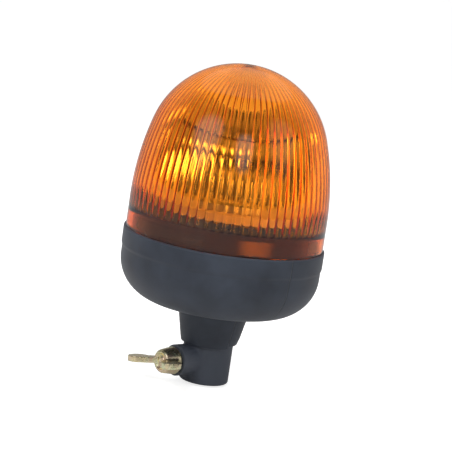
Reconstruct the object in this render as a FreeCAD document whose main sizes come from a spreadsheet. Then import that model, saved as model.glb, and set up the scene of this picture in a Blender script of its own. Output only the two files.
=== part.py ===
import FreeCAD, Part
import math
import os
import re
import Sketcher

# Rotating beacon with an amber bayonet lens, a rubber base and a clamp socket for a 24 mm pole.
# Frame: +Z up along the beacon, origin at the centre of the socket's mouth, wing screw along -X,
# mould parting plane of the rubber at X = 0. All sizes are in millimetres and degrees.

SIZES = {
    # clearances
    "seat_gap": (0.1, "between pieces that seat in each other"),
    "run_gap": (0.3, "between pieces that move past each other"),
    "shaft_gap": (0.05, "radial play of a shaft in its bearing"),
    # pole socket
    "bore_r": (12.5, "pole socket, for a 24 mm pole"),
    "bore_depth": (42.0, "how far the pole goes in"),
    "sleeve_wall": (1.0, "steel liner"),
    "holder_wall": (4.4, "moulded socket tube"),
    "holder_edge": (1.5, "rounding at the mouth"),
    "holder_show": (28.0, "tube below the rubber neck"),
    "flange_spread": (16.0, "flange of the tube inside the bowl"),
    "flange_thick": (4.0, "flange of the tube inside the bowl"),
    # clamp screw
    "boss_clear": (0.4, "boss below the rubber neck"),
    "boss_wall": (4.8, "boss round the insert's barrel"),
    "boss_reach": (30.0, "boss face from the axis"),
    "boss_blend": (4.0, "fillet between boss and tube"),
    "thread_r": (5.0, "M10 clamp screw"),
    "insert_wall": (1.4, "brass insert"),
    "insert_long": (11.0, "brass insert"),
    "insert_collar": (1.2, "collar behind the insert"),
    "collar_thick": (1.5, "collar behind the insert"),
    "pad_r": (4.0, "swivel pad on the screw's tip"),
    "pad_thick": (3.5, "swivel pad"),
    "tip_r": (2.5, "screw's dog point"),
    "tip_long": (2.0, "dog point inside the pad"),
    "clamp_travel": (1.2, "inward travel of the screw"),
    "hub_base_r": (10.0, "wing screw hub at the boss"),
    "hub_end_r": (8.25, "wing screw hub at its outer end"),
    "hub_long": (12.0, "wing screw hub"),
    "hub_round": (2.0, "rounding of the hub's end"),
    "wing_span": (25.5, "wing tip from the screw's axis"),
    "wing_rise": (25.0, "wing tip from the hub's base"),
    "wing_r": (7.5, "rounding of a wing's tip"),
    "wing_thick": (3.4, "wing"),
    "wing_turn": (8.0, "wings turned from level"),
    "wing_lower": (39.0, "where the outer edge meets the tip"),
    "wing_upper": (240.0, "where the inner edge meets the tip"),
    # rubber boot
    "neck_wall": (2.5, "rubber over the tube"),
    "neck_flare": (5.5, "neck widens upward"),
    "neck_show": (26.2, "length of the neck"),
    "neck_step": (1.8, "back half of the neck is shorter"),
    "bowl_r": (71.8, "bowl"),
    "bowl_corner": (30.0, "rounding of the bowl"),
    "bowl_slope": (6.0, "rise of the bowl's underside"),
    "bowl_side": (6.0, "upright side of the bowl"),
    "boot_wall": (3.0, "rubber"),
    "lip_step": (0.7, "lip stands proud of the bowl"),
    "lip_height": (14.5, "lip"),
    "lip_wall": (2.6, "lip"),
    "lip_round": (1.0, "rounding of the lip"),
    "shelf_depth": (14.3, "shelf for the chassis below the lip's top"),
    "shelf_wide": (4.8, "shelf for the chassis"),
    "shelf_thick": (4.0, "shelf for the chassis"),
    # lens
    "band_step": (1.45, "lens band stands proud of the skirt"),
    "skirt_depth": (10.5, "lens skirt inside the lip"),
    "skirt_wall": (2.4, "lens skirt"),
    "band_height": (15.0, "smooth band above the lip"),
    "band_side": (4.5, "upright part of the fluted wall"),
    "side_curve": (200.0, "profile radius of the side"),
    "crown_less": (6.05, "profile radius of the crown below the band's radius"),
    "flute_count": (72, "flutes round the lens"),
    "valley_wall": (2.2, "wall at the bottom of a flute"),
    "flute_depth": (1.2, "flutes at the band"),
    "crown_wall": (2.6, "wall where the flutes run out"),
    "flute_end_r": (12.0, "flutes end this far from the axis"),
    "pocket_depth": (1.4, "bayonet pocket in the band"),
    "pocket_sweep": (51.4, "bayonet pocket"),
    "pocket_start": (165.0, "bayonet pocket's first side"),
    "pocket_low": (3.0, "pocket's floor above the lip"),
    "pocket_tall": (8.0, "bayonet pocket"),
    "gate_sweep": (13.0, "way in for the lug"),
    "gate_middle": (181.2, "way in for the lug"),
    "bayonet_count": (3, "lugs"),
    # chassis
    "deck_rise": (10.0, "chassis deck above the lip's top"),
    "deck_thick": (3.0, "chassis deck"),
    "rim_wall": (2.5, "chassis rim"),
    "rim_rise": (4.5, "chassis rim above the deck"),
    "foot_thick": (1.9, "foot of the rim on the shelf"),
    "seal_thick": (1.7, "flat ring under the lens"),
    "tower_r": (9.0, "tower that the rotor turns on"),
    "tower_wall": (2.0, "tower"),
    "tower_rise": (13.8, "tower above the deck"),
    "lug_sweep": (12.0, "bayonet lug"),
    "lug_middle": (209.0, "bayonet lug in the locked lens"),
    "lug_thick": (3.2, "bayonet lug"),
    "post_ring_r": (27.0, "posts from the axis"),
    "post_r": (5.0, "post"),
    "post_count": (3, "posts"),
    "post_first": (90.0, "first post"),
    "post_floor": (3.0, "floor of a post under the screw"),
    "rib_count": (12, "ribs under the deck"),
    "rib_thick": (1.8, "rib"),
    "rib_deep": (6.0, "rib"),
    "rib_reach": (14.0, "rib inward from the rim"),
    "screw_r": (1.6, "self-tapping screw"),
    "screw_head_r": (2.9, "self-tapping screw"),
    "screw_head": (2.2, "self-tapping screw"),
    "screw_long": (6.4, "self-tapping screw"),
    # drive
    "rotor_teeth": (60, "ring gear of the rotor"),
    "small_teeth": (14, "idler's pinion"),
    "slow_module": (0.8, "rotor stage"),
    "large_teeth": (48, "idler's wheel"),
    "pinion_teeth": (12, "motor pinion"),
    "fast_module": (0.6, "motor stage"),
    "backlash": (0.25, "play between teeth"),
    "wheel_lift": (0.8, "idler's wheel above the deck"),
    "wheel_thick": (3.0, "idler's wheel"),
    "ring_gear_thick": (5.0, "rotor gear"),
    "ring_gear_lift": (5.0, "rotor gear above the deck"),
    "axle_r": (1.5, "idler axle"),
    "axle_boss_r": (3.0, "boss under the deck"),
    "axle_boss": (4.0, "boss under the deck"),
    "small_gear_thick": (6.4, "idler's pinion"),
    "motor_turn": (90.0, "motor seen from the idler"),
    "motor_r": (13.8, "motor case"),
    "motor_long": (30.0, "motor case"),
    "motor_nose_r": (5.0, "motor bearing boss"),
    "motor_nose": (1.4, "motor bearing boss"),
    "motor_edge": (1.2, "rounding of the case"),
    "motor_screw_ring": (8.0, "motor screws from the shaft"),
    "motor_cap": (3.0, "motor end cap"),
    "motor_tab_ring": (9.0, "motor terminals from the shaft"),
    "motor_tab": (4.0, "motor terminals"),
    "shaft_r": (1.15, "motor shaft"),
    # rotor
    "bush_wall": (1.0, "bush between tower and rotor"),
    "bush_flange": (2.0, "bush under the rotor"),
    "hub_wall": (4.0, "rotor hub"),
    "disc_r": (45.0, "turntable"),
    "disc_lift": (13.5, "turntable's top above the deck"),
    "disc_thick": (2.6, "turntable"),
    "disc_rim": (6.0, "turntable's rim"),
    "disc_rim_wall": (1.6, "turntable's rim"),
    "washer_thick": (0.7, "thrust washer"),
    "washer_r": (13.0, "thrust washer"),
    "mirror_wide": (80.0, "reflector"),
    "mirror_tall": (65.0, "reflector"),
    "mirror_corner": (25.0, "reflector's corners"),
    "mirror_clear": (1.2, "reflector's lower edge from the bulb holder"),
    "mirror_wall": (1.4, "reflector"),
    "mirror_lift": (1.0, "reflector above the turntable"),
    "heading": (227.0, "where the reflector faces"),
    "bracket_wide": (16.0, "reflector bracket"),
    "bracket_thick": (1.5, "reflector bracket"),
    "bracket_foot": (11.0, "reflector bracket"),
    "rivet_r": (1.5, "rivets through the reflector"),
    "rivet_pitch": (16.0, "rivets through the reflector"),
    "rivet_head_r": (2.5, "rivets through the reflector"),
    "rivet_head": (0.8, "rivets through the reflector"),
    "foot_screw_pitch": (9.0, "screws through the bracket's foot"),
    "weight_near": (26.0, "counterweight from the axis"),
    "weight_far": (37.0, "counterweight from the axis"),
    "weight_sweep": (50.0, "counterweight"),
    "weight_tall": (5.0, "counterweight"),
    # bulb
    "socket_r": (11.5, "bulb holder"),
    "socket_flange": (3.0, "bulb holder"),
    "socket_neck_r": (9.0, "bulb holder"),
    "socket_neck": (2.6, "bulb holder"),
    "socket_stem": (8.0, "bulb holder inside the tower"),
    "socket_hollow_r": (5.0, "bulb holder"),
    "cap_flange_r": (7.25, "bulb's flange"),
    "cap_flange": (0.8, "bulb's flange"),
    "cap_r": (6.4, "bulb's metal cap"),
    "cap_tall": (12.0, "bulb's metal cap"),
    "glass_r": (4.8, "bulb's glass"),
    "glass_wall": (0.7, "bulb's glass"),
    "glass_tall": (31.0, "bulb's glass"),
    "filament_rise": (25.0, "filament above the bulb's flange"),
    "filament_r": (0.9, "filament"),
    "filament_long": (5.0, "filament"),
    "clip_wire_r": (0.6, "bulb clip"),
    # supply contact
    "carrier_recess_r": (6.0, "way in for the pole's pin"),
    "carrier_recess": (4.5, "way in for the pole's pin"),
    "carrier_long": (14.5, "contact carrier"),
    "carrier_shoulder": (1.2, "shoulder that holds the plunger"),
    "plunger_r": (3.0, "contact plunger"),
    "plunger_inset": (0.8, "plunger's tip above the recess"),
    "plunger_collar_r": (4.6, "contact plunger"),
    "plunger_collar": (1.5, "contact plunger"),
    "plunger_stem_r": (2.0, "contact plunger"),
    "plunge": (3.0, "travel of the contact plunger"),
    "spring_wire_r": (0.3, "contact spring"),
    "spring_turns": (5, "contact spring"),
    "terminal_r": (8.0, "supply terminal"),
    "terminal_thick": (1.2, "supply terminal"),
    "tab_wide": (6.3, "blade terminal"),
    "tab_thick": (0.8, "blade terminal"),
    "tab_long": (5.0, "blade terminal"),
    "strip_wide": (4.0, "ground strip"),
    "strip_thick": (0.6, "ground strip"),
    "strip_rise": (3.0, "ground strip above the flange"),
    "lead_r": (0.9, "insulated lead"),
    "lead_offset": (2.6, "leads from the axis in the tower"),
}

# Sizes that follow from the ones above, as formulas of their names.
FORMULAS = {
    "sleeve_r": "bore_r + sleeve_wall",
    "holder_r": "sleeve_r + holder_wall",
    "flange_r": "holder_r + flange_spread",
    "insert_r": "thread_r + insert_wall",
    "boss_r": "insert_r + boss_wall",
    "boss_z": "neck_z - boss_clear - boss_r",
    "hub_x": "boss_reach + clamp_travel + run_gap",
    "pad_x": "bore_r + run_gap",
    "neck_bottom_r": "holder_r + neck_wall + seat_gap",
    "neck_top_r": "neck_bottom_r + neck_flare",
    "neck_z": "holder_show",
    "neck_top_z": "neck_z + neck_show",
    "turn_r": "bowl_r - bowl_corner",
    "under_r": "turn_r + bowl_corner * sin(bowl_slope)",
    "under_z": "neck_top_z + (under_r - neck_top_r) * tan(bowl_slope)",
    "turn_z": "under_z + bowl_corner * cos(bowl_slope)",
    "lip_z": "turn_z + bowl_side",
    "lip_r": "bowl_r + lip_step",
    "lip_top": "lip_z + lip_height",
    "lip_in_r": "lip_r - lip_wall",
    "bowl_in_r": "bowl_r - boot_wall",
    "floor_z": "turn_z - bowl_corner + boot_wall",
    "shelf_z": "lip_top - shelf_depth",
    "shelf_r": "bowl_in_r - shelf_wide",
    "flange_top_z": "floor_z + flange_thick",
    "skirt_r": "lip_in_r - run_gap",
    "skirt_in_r": "skirt_r - skirt_wall",
    "skirt_z": "lip_top - skirt_depth",
    "lens_r": "skirt_r + band_step",
    "crown_r": "lens_r - crown_less",
    "shoulder_z": "lip_top + run_gap",
    "flute_z": "lip_top + band_height",
    "side_z": "flute_z + band_side",
    "crown_turn": "acos((side_curve - lens_r) / (side_curve - crown_r))",
    "crown_z": "side_z + (side_curve - crown_r) * sin(crown_turn)",
    "apex_z": "crown_z + crown_r",
    "rim_r": "skirt_in_r - run_gap",
    "rim_in_r": "rim_r - rim_wall",
    "foot_r": "lip_in_r - run_gap",
    "foot_z": "shelf_z + seat_gap",
    "deck_z": "lip_top + deck_rise",
    "deck_under_z": "deck_z - deck_thick",
    "tower_top_z": "deck_z + tower_rise",
    "tower_in_r": "tower_r - tower_wall",
    "pocket_r": "skirt_in_r + pocket_depth",
    "pocket_z": "lip_top + pocket_low",
    "lug_r": "pocket_r - run_gap",
    "lug_z": "pocket_z + run_gap",
    "post_z": "flange_top_z + seat_gap",
    "idler_x": "slow_module * (rotor_teeth + small_teeth) / 2",
    "mesh_gap": "fast_module * (large_teeth + pinion_teeth) / 2",
    "motor_x": "idler_x + mesh_gap * cos(motor_turn)",
    "motor_y": "mesh_gap * sin(motor_turn)",
    "motor_top_z": "deck_under_z - seat_gap",
    "motor_low_z": "motor_top_z - motor_long",
    "wheel_z": "deck_z + wheel_lift",
    "ring_gear_z": "deck_z + ring_gear_lift",
    "ring_gear_top_z": "ring_gear_z + ring_gear_thick",
    "bush_r": "tower_r + seat_gap + bush_wall",
    "hub_in_r": "bush_r + shaft_gap",
    "hub_r": "hub_in_r + hub_wall",
    "disc_z": "deck_z + disc_lift",
    "hub_top_z": "tower_top_z - washer_thick - seat_gap",
    "mirror_near": "socket_r + mirror_clear",
    "mirror_focus": "(mirror_near + sqrt(mirror_near ^ 2 + (mirror_tall / 2) ^ 2)) / 2",
    "mirror_low_z": "disc_z + mirror_lift",
    "mirror_middle_z": "mirror_low_z + mirror_tall / 2",
    "foot_screw_x": "mirror_focus + mirror_wall + seat_gap + 2 * bracket_thick + (bracket_foot - bracket_thick) / 2",
    "socket_z": "tower_top_z + seat_gap",
    "bulb_z": "socket_z + socket_flange + socket_neck",
    "glass_z": "bulb_z + cap_flange + cap_tall",
    "carrier_z": "bore_depth + seat_gap",
    "carrier_top_z": "carrier_z + carrier_long",
    "collar_z": "carrier_z + carrier_recess + carrier_shoulder",
    "spring_z": "collar_z + plunger_collar",
    "spring_r": "plunger_stem_r + spring_wire_r + run_gap",
    "tab_x": "terminal_r - tab_thick - seat_gap",
}


def bound(text):
    """Rewrite a formula of size names as an expression on the sheet."""
    def swap(match):
        word = match.group(0)
        if word in FORMULAS:
            return "(" + bound(FORMULAS[word]) + ")"
        if word in SIZES:
            return "dims." + word
        return word
    return re.sub(r"[a-z][a-z_]*", swap, text)


doc = FreeCAD.newDocument("rotating_beacon")
sheet = doc.addObject("Spreadsheet::Sheet", "dims")
for row, (alias, (value, note)) in enumerate(SIZES.items(), start=1):
    sheet.set(f"A{row}", alias)
    sheet.set(f"B{row}", str(value))
    sheet.setAlias(f"B{row}", alias)
    sheet.set(f"C{row}", note)
doc.recompute()

LEFT = 1
RIGHT = -1
finished = []


def size(text):
    """Number of millimetres or degrees that a formula gives."""
    return float(sheet.evalExpression(bound(text)))


def keep(thing, label):
    """Name a finished sub-part and put it on the list of parts to write."""
    thing.Label = label
    finished.append(thing)
    return thing


def new_body(label):
    return keep(doc.addObject("PartDesign::Body", label), label)


def origin_feature(body, role):
    """Origin plane or axis of a body."""
    return next(item for item in body.Origin.OriginFeatures if item.Role == role)


def place(thing, x="0", y="0", z="0", turn="0"):
    """Stand a sub-part at x, y, z, turned about the upright."""
    for path, text in zip(("Base.x", "Base.y", "Base.z", "Rotation.Angle"), (x, y, z, turn)):
        thing.setExpression("Placement." + path, bound(text))


def arc_middle(start, end, radius, bend):
    """Middle point of the shorter arc from start to end, with its centre on the bend side."""
    chord = end - start
    middle = (start + end) / 2
    aside = FreeCAD.Vector(-chord.y, chord.x, 0).normalize() * bend
    sink = math.sqrt(max(radius ** 2 - (chord.Length / 2) ** 2, 0))
    return middle + aside * (sink - radius)


def draw_loop(sketch, corners):
    """Closed loop of lines and arcs; a corner is (x, y) or (x, y, arc radius, bend)."""
    points = [FreeCAD.Vector(size(corner[0]), size(corner[1]), 0) for corner in corners]
    edges = []
    for index, corner in enumerate(corners):
        start = points[index]
        end = points[(index + 1) % len(points)]
        if len(corner) == 2:
            edge = sketch.addGeometry(Part.LineSegment(start, end), False)
            edges.append((edge, 1, 2))
            continue
        middle = arc_middle(start, end, size(corner[2]), corner[3])
        edge = sketch.addGeometry(Part.Arc(start, middle, end), False)
        first = sketch.getPoint(edge, 1)
        edges.append((edge, 1, 2) if (first - start).Length < 1e-6 else (edge, 2, 1))
    for index, (edge, _, finish) in enumerate(edges):
        following, begin, _ = edges[(index + 1) % len(edges)]
        sketch.addConstraint(Sketcher.Constraint("Coincident", edge, finish, following, begin))
    for corner, point, (edge, begin, _) in zip(corners, points, edges):
        for kind, text, number in (("DistanceX", corner[0], point.x), ("DistanceY", corner[1], point.y)):
            fixed = sketch.addConstraint(Sketcher.Constraint(kind, -1, 1, edge, begin, number))
            sketch.setExpression(f"Constraints[{fixed}]", bound(text))
        if len(corner) > 2:
            fixed = sketch.addConstraint(Sketcher.Constraint("Radius", edge, size(corner[2])))
            sketch.setExpression(f"Constraints[{fixed}]", bound(corner[2]))


def draw_circle(sketch, x, y, radius):
    """Circle tied to the sheet."""
    centre = FreeCAD.Vector(size(x), size(y), 0)
    edge = sketch.addGeometry(Part.Circle(centre, FreeCAD.Vector(0, 0, 1), size(radius)), False)
    for kind, text, number in (("DistanceX", x, centre.x), ("DistanceY", y, centre.y)):
        fixed = sketch.addConstraint(Sketcher.Constraint(kind, -1, 1, edge, 3, number))
        sketch.setExpression(f"Constraints[{fixed}]", bound(text))
    fixed = sketch.addConstraint(Sketcher.Constraint("Radius", edge, size(radius)))
    sketch.setExpression(f"Constraints[{fixed}]", bound(radius))


def sketch_on(body, role, loops=(), circles=(), lift="0", up="0", turn="0", tilt="0"):
    """Sketch on an origin plane, lifted off it, raised in it, turned about its Y or tilted about its X."""
    sketch = body.newObject("Sketcher::SketchObject", "outline")
    sketch.AttachmentSupport = [(origin_feature(body, role), "")]
    sketch.MapMode = "FlatFace"
    if turn != "0":
        axis = FreeCAD.Vector(0, 1, 0)
    else:
        axis = FreeCAD.Vector(1, 0, 0)
    sketch.AttachmentOffset = FreeCAD.Placement(FreeCAD.Vector(0, 0, 0), FreeCAD.Rotation(axis, 1))
    sketch.setExpression("AttachmentOffset.Base.y", bound(up))
    sketch.setExpression("AttachmentOffset.Base.z", bound(lift))
    sketch.setExpression("AttachmentOffset.Rotation.Angle", bound(turn if turn != "0" else tilt))
    for corners in loops:
        draw_loop(sketch, corners)
    for circle in circles:
        draw_circle(sketch, *circle)
    return sketch


def grow(body, kind, sketch, axis=None, **bindings):
    """Pad or Revolution whose properties are tied to the sheet."""
    feature = body.newObject("PartDesign::" + kind, kind.lower())
    feature.Profile = sketch
    if axis:
        feature.ReferenceAxis = (sketch, [axis])
    for name, setting in bindings.items():
        if isinstance(setting, bool):
            setattr(feature, name, setting)
        else:
            feature.setExpression(name, bound(setting))
    doc.recompute()
    return feature


def cut(body, kind, sketch, axis=None, **bindings):
    """Pocket or Groove, turned round if it points away from the solid."""
    before = body.Shape.Volume
    feature = grow(body, kind, sketch, axis, **bindings)
    if body.Shape.Volume > before - 1e-6:
        feature.Reversed = not feature.Reversed
        doc.recompute()
    if body.Shape.Volume > before - 1e-6:
        raise RuntimeError(f"{body.Label}: {feature.Name} cuts nothing")
    return feature


def ring_of(body, originals, count):
    """Repeat features round the upright."""
    pattern = body.newObject("PartDesign::PolarPattern", "pattern")
    pattern.Originals = originals
    pattern.Axis = (origin_feature(body, "Z_Axis"), [""])
    pattern.Angle = 360
    pattern.setExpression("Occurrences", bound(count))
    body.Tip = pattern
    doc.recompute()
    return pattern


def turned(label, corners):
    """Body of one outline in radius and height, turned about the upright."""
    body = new_body(label)
    grow(body, "Revolution", sketch_on(body, "XZ_Plane", [corners]), "V_Axis", Angle="360")
    return body


def turned_on_screw(label, corners):
    """Body of one outline along the clamp screw's axis and away from it."""
    body = new_body(label)
    sketch = sketch_on(body, "XZ_Plane", [corners], up="boss_z")
    grow(body, "Revolution", sketch, "H_Axis", Angle="360")
    return body


def box_corners(x_low, x_high, y_low, y_high):
    """Corners of a rectangle."""
    return [(x_low, y_low), (x_high, y_low), (x_high, y_high), (x_low, y_high)]


def solid_feature(label, shape, **placement):
    """Sub-part whose shape is worked out here from the sheet's sizes."""
    thing = keep(doc.addObject("Part::Feature", label), label)
    thing.Shape = shape
    if placement:
        place(thing, **placement)
    return thing


def bent_wire(points, share=0.45):
    """Straight runs joined by tangent arcs; an arc takes a share of its shorter run."""
    corners = [FreeCAD.Vector(*point) for point in points]
    edges = []
    start = corners[0]
    for before, corner, after in zip(corners, corners[1:], corners[2:]):
        arrive = corner - before
        leave = after - corner
        reach = share * min(arrive.Length, leave.Length)
        arrive.normalize()
        leave.normalize()
        enter = corner - arrive * reach
        depart = corner + leave * reach
        half_turn = arrive.getAngle(leave) / 2
        radius = reach / math.tan(half_turn)
        inward = (leave - arrive).normalize()
        middle = corner + inward * (radius / math.cos(half_turn) - radius)
        edges.append(Part.LineSegment(start, enter).toShape())
        edges.append(Part.Arc(enter, middle, depart).toShape())
        start = depart
    edges.append(Part.LineSegment(start, corners[-1]).toShape())
    return Part.Wire(edges)


def round_bar(path, radius):
    """Solid of round section along a path."""
    first = path.Edges[0]
    begin = first.valueAt(first.FirstParameter)
    section = Part.Wire(Part.makeCircle(radius, begin, first.tangentAt(first.FirstParameter)))
    return path.makePipeShell([section], True, True)


def make_rubber_boot():
    """Bowl with a lip round the lens, a shelf inside it and a conical neck over the tube."""
    boot = turned("rubber_boot", [
        ("holder_r + seat_gap", "neck_z"),
        ("neck_bottom_r", "neck_z"),
        ("neck_top_r", "neck_top_z"),
        ("under_r", "under_z", "bowl_corner", LEFT),
        ("bowl_r", "turn_z"),
        ("bowl_r", "lip_z"),
        ("lip_r", "lip_z + lip_step"),
        ("lip_r", "lip_top - lip_round", "lip_round", LEFT),
        ("lip_r - lip_round", "lip_top"),
        ("lip_in_r", "lip_top"),
        ("lip_in_r", "shelf_z"),
        ("shelf_r", "shelf_z"),
        ("shelf_r", "shelf_z - shelf_thick"),
        ("bowl_in_r", "turn_z", "bowl_corner - boot_wall", RIGHT),
        ("turn_r", "floor_z"),
        ("holder_r + seat_gap", "floor_z"),
    ])
    # The two mould halves end at different heights on the tube.
    back_half = box_corners("0", "neck_top_r", "-neck_top_r", "neck_top_r")
    cut(boot, "Pocket", sketch_on(boot, "XY_Plane", [back_half], lift="neck_z"), Length="neck_step")


def make_tube_holder():
    """Socket tube with a flange inside the bowl and a side boss for the clamp screw."""
    holder = new_body("tube_holder")
    outline = [
        ("0", "0"),
        ("holder_r - holder_edge", "0", "holder_edge", LEFT),
        ("holder_r", "holder_edge"),
        ("holder_r", "floor_z"),
        ("flange_r", "floor_z"),
        ("flange_r", "flange_top_z"),
        ("0", "flange_top_z"),
    ]
    grow(holder, "Revolution", sketch_on(holder, "XZ_Plane", [outline]), "V_Axis", Angle="360")
    boss = sketch_on(holder, "YZ_Plane", circles=[("0", "boss_z", "boss_r")])
    pad = grow(holder, "Pad", boss, Length="boss_reach", Reversed=True)
    blend = holder.newObject("PartDesign::Fillet", "blend")
    blend.Base = (pad, meeting_edges(pad.Shape, size("holder_r"), size("boss_r"), size("boss_z")))
    blend.setExpression("Radius", bound("boss_blend"))
    doc.recompute()
    trim = box_corners("holder_r - seat_gap", "boss_reach", "neck_z - seat_gap", "neck_top_z")
    cut(holder, "Groove", sketch_on(holder, "XZ_Plane", [trim]), "V_Axis", Angle="360")
    bore = sketch_on(holder, "XY_Plane", circles=[("0", "0", "sleeve_r")])
    cut(holder, "Pocket", bore, Length="flange_top_z + seat_gap")
    seat = sketch_on(holder, "XZ_Plane", [[
        ("-bore_r", "0"),
        ("-bore_r", "thread_r + run_gap"),
        ("insert_long - boss_reach", "thread_r + run_gap"),
        ("insert_long - boss_reach", "insert_r + insert_collar + seat_gap"),
        ("insert_long - boss_reach - collar_thick", "insert_r + insert_collar + seat_gap"),
        ("insert_long - boss_reach - collar_thick", "insert_r + seat_gap"),
        ("-boss_reach - boss_blend", "insert_r + seat_gap"),
        ("-boss_reach - boss_blend", "0"),
    ]], up="boss_z")
    cut(holder, "Groove", seat, "H_Axis", Angle="360")
    screw_hole = sketch_on(holder, "XY_Plane", circles=[post_circle("screw_r")], lift="flange_top_z")
    hole = cut(holder, "Pocket", screw_hole, Length="flange_thick")
    ring_of(holder, [hole], "post_count")


def meeting_edges(shape, tube_r, boss_r, boss_z):
    """Names of the edges where the boss meets the tube."""
    names = []
    for number, edge in enumerate(shape.Edges, start=1):
        points = edge.discretize(5)
        on_tube = all(abs(math.hypot(point.x, point.y) - tube_r) < 0.01 for point in points)
        on_boss = all(abs(math.hypot(point.y, point.z - boss_z) - boss_r) < 0.01 for point in points)
        if on_tube and on_boss:
            names.append(f"Edge{number}")
    return names


def post_circle(radius):
    """Circle at the first of the chassis posts."""
    return ("post_ring_r * cos(post_first)", "post_ring_r * sin(post_first)", radius)


def make_clamp():
    """Steel liner, brass insert, swivel pad and the wing screw that clamp the pole."""
    sleeve = turned("socket_sleeve", box_corners("bore_r", "sleeve_r - seat_gap", "0", "bore_depth"))
    window = sketch_on(sleeve, "YZ_Plane", circles=[("0", "boss_z", "pad_r + run_gap")])
    cut(sleeve, "Pocket", window, Length="sleeve_r", Reversed=False)
    turned_on_screw("screw_insert", [
        ("insert_long - boss_reach", "thread_r"),
        ("-boss_reach", "thread_r"),
        ("-boss_reach", "insert_r"),
        ("insert_long - boss_reach - collar_thick + seat_gap", "insert_r"),
        ("insert_long - boss_reach - collar_thick + seat_gap", "insert_r + insert_collar"),
        ("insert_long - boss_reach", "insert_r + insert_collar"),
    ])
    turned_on_screw("thrust_pad", [
        ("-pad_x", "0"),
        ("-pad_x", "pad_r"),
        ("-pad_x - pad_thick", "pad_r"),
        ("-pad_x - pad_thick", "tip_r + seat_gap"),
        ("-pad_x - pad_thick + tip_long + seat_gap", "tip_r + seat_gap"),
        ("-pad_x - pad_thick + tip_long + seat_gap", "0"),
    ])
    screw = turned_on_screw("wing_screw", [
        ("-pad_x - pad_thick + tip_long", "0"),
        ("-pad_x - pad_thick + tip_long", "tip_r"),
        ("-pad_x - pad_thick - seat_gap", "tip_r"),
        ("-pad_x - pad_thick - seat_gap", "thread_r - seat_gap"),
        ("-hub_x", "thread_r - seat_gap"),
        ("-hub_x", "hub_base_r"),
        ("-hub_x - hub_long + hub_round", "hub_end_r", "hub_round", LEFT),
        ("-hub_x - hub_long", "hub_end_r - hub_round"),
        ("-hub_x - hub_long", "hub_end_r - 2 * hub_round"),
        ("-hub_x - hub_long + hub_round / 2", "0"),
    ])
    tip_x = "(wing_r - hub_x - wing_rise)"
    tip_y = "(wing_span - wing_r)"
    turn = "(wing_lower + wing_upper) / 2"
    wing = sketch_on(screw, "XY_Plane", [[
        ("-hub_x - seat_gap", "0"),
        ("-hub_x - seat_gap", "hub_end_r"),
        (f"{tip_x} + wing_r * cos(wing_lower)", f"{tip_y} + wing_r * sin(wing_lower)", "wing_r", LEFT),
        (f"{tip_x} + wing_r * cos({turn})", f"{tip_y} + wing_r * sin({turn})", "wing_r", LEFT),
        (f"{tip_x} + wing_r * cos(wing_upper)", f"{tip_y} + wing_r * sin(wing_upper)"),
        ("-hub_x - hub_long + hub_round", "hub_end_r - hub_round"),
        ("-hub_x - hub_long + hub_round", "0"),
    ]], lift="boss_z", tilt="-wing_turn")
    pad = grow(screw, "Pad", wing, Length="wing_thick", Midplane=True)
    pair = screw.newObject("PartDesign::PolarPattern", "pair")
    pair.Originals = [pad]
    pair.Axis = (wing, ["H_Axis"])
    pair.Angle = 360
    pair.Occurrences = 2
    screw.Tip = pair
    doc.recompute()


def make_supply_contact():
    """Sprung contact above the pole, its carrier, its terminal and the ground strip."""
    carrier = turned("contact_carrier", [
        ("carrier_recess_r", "carrier_z"),
        ("sleeve_r - seat_gap", "carrier_z"),
        ("sleeve_r - seat_gap", "carrier_top_z"),
        ("plunger_collar_r + run_gap", "carrier_top_z"),
        ("plunger_collar_r + run_gap", "collar_z - seat_gap"),
        ("plunger_r + run_gap", "collar_z - seat_gap"),
        ("plunger_r + run_gap", "carrier_z + carrier_recess"),
        ("carrier_recess_r", "carrier_z + carrier_recess"),
    ])
    slot = box_corners("-sleeve_r", "seat_gap * 2 + strip_thick - sleeve_r",
                       "-strip_wide / 2 - seat_gap", "strip_wide / 2 + seat_gap")
    cut(carrier, "Pocket", sketch_on(carrier, "XY_Plane", [slot], lift="carrier_z"), Length="carrier_long")
    strip = new_body("ground_strip")
    section = box_corners("seat_gap - sleeve_r + seat_gap", "seat_gap - sleeve_r + seat_gap + strip_thick",
                          "-strip_wide / 2", "strip_wide / 2")
    grow(strip, "Pad", sketch_on(strip, "XY_Plane", [section], lift="bore_depth"),
         Length="flange_top_z + strip_rise - bore_depth")
    terminal = turned("supply_terminal", box_corners(
        "plunger_stem_r + run_gap", "terminal_r",
        "carrier_top_z + seat_gap", "carrier_top_z + seat_gap + terminal_thick"))
    blade = box_corners("tab_x", "tab_x + tab_thick", "-tab_wide / 2", "tab_wide / 2")
    tab = grow(terminal, "Pad", sketch_on(terminal, "XY_Plane", [blade], lift="carrier_top_z + seat_gap"),
               Length="terminal_thick + tab_long")
    ring_of(terminal, [tab], "2")
    turned("contact_plunger", [
        ("0", "carrier_z + plunger_inset"),
        ("plunger_r - plunger_inset", "carrier_z + plunger_inset", "plunger_inset", LEFT),
        ("plunger_r", "carrier_z + 2 * plunger_inset"),
        ("plunger_r", "collar_z"),
        ("plunger_collar_r", "collar_z"),
        ("plunger_collar_r", "spring_z"),
        ("plunger_stem_r", "spring_z"),
        ("plunger_stem_r", "carrier_top_z + seat_gap + terminal_thick"),
        ("0", "carrier_top_z + seat_gap + terminal_thick"),
    ])
    wire_r = size("spring_wire_r")
    tall = size("carrier_top_z - spring_z") - 2 * wire_r
    helix = Part.makeHelix(tall / size("spring_turns"), tall, size("spring_r"))
    solid_feature("contact_spring", round_bar(Part.Wire(helix.Edges), wire_r), z="spring_z + spring_wire_r")


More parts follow.
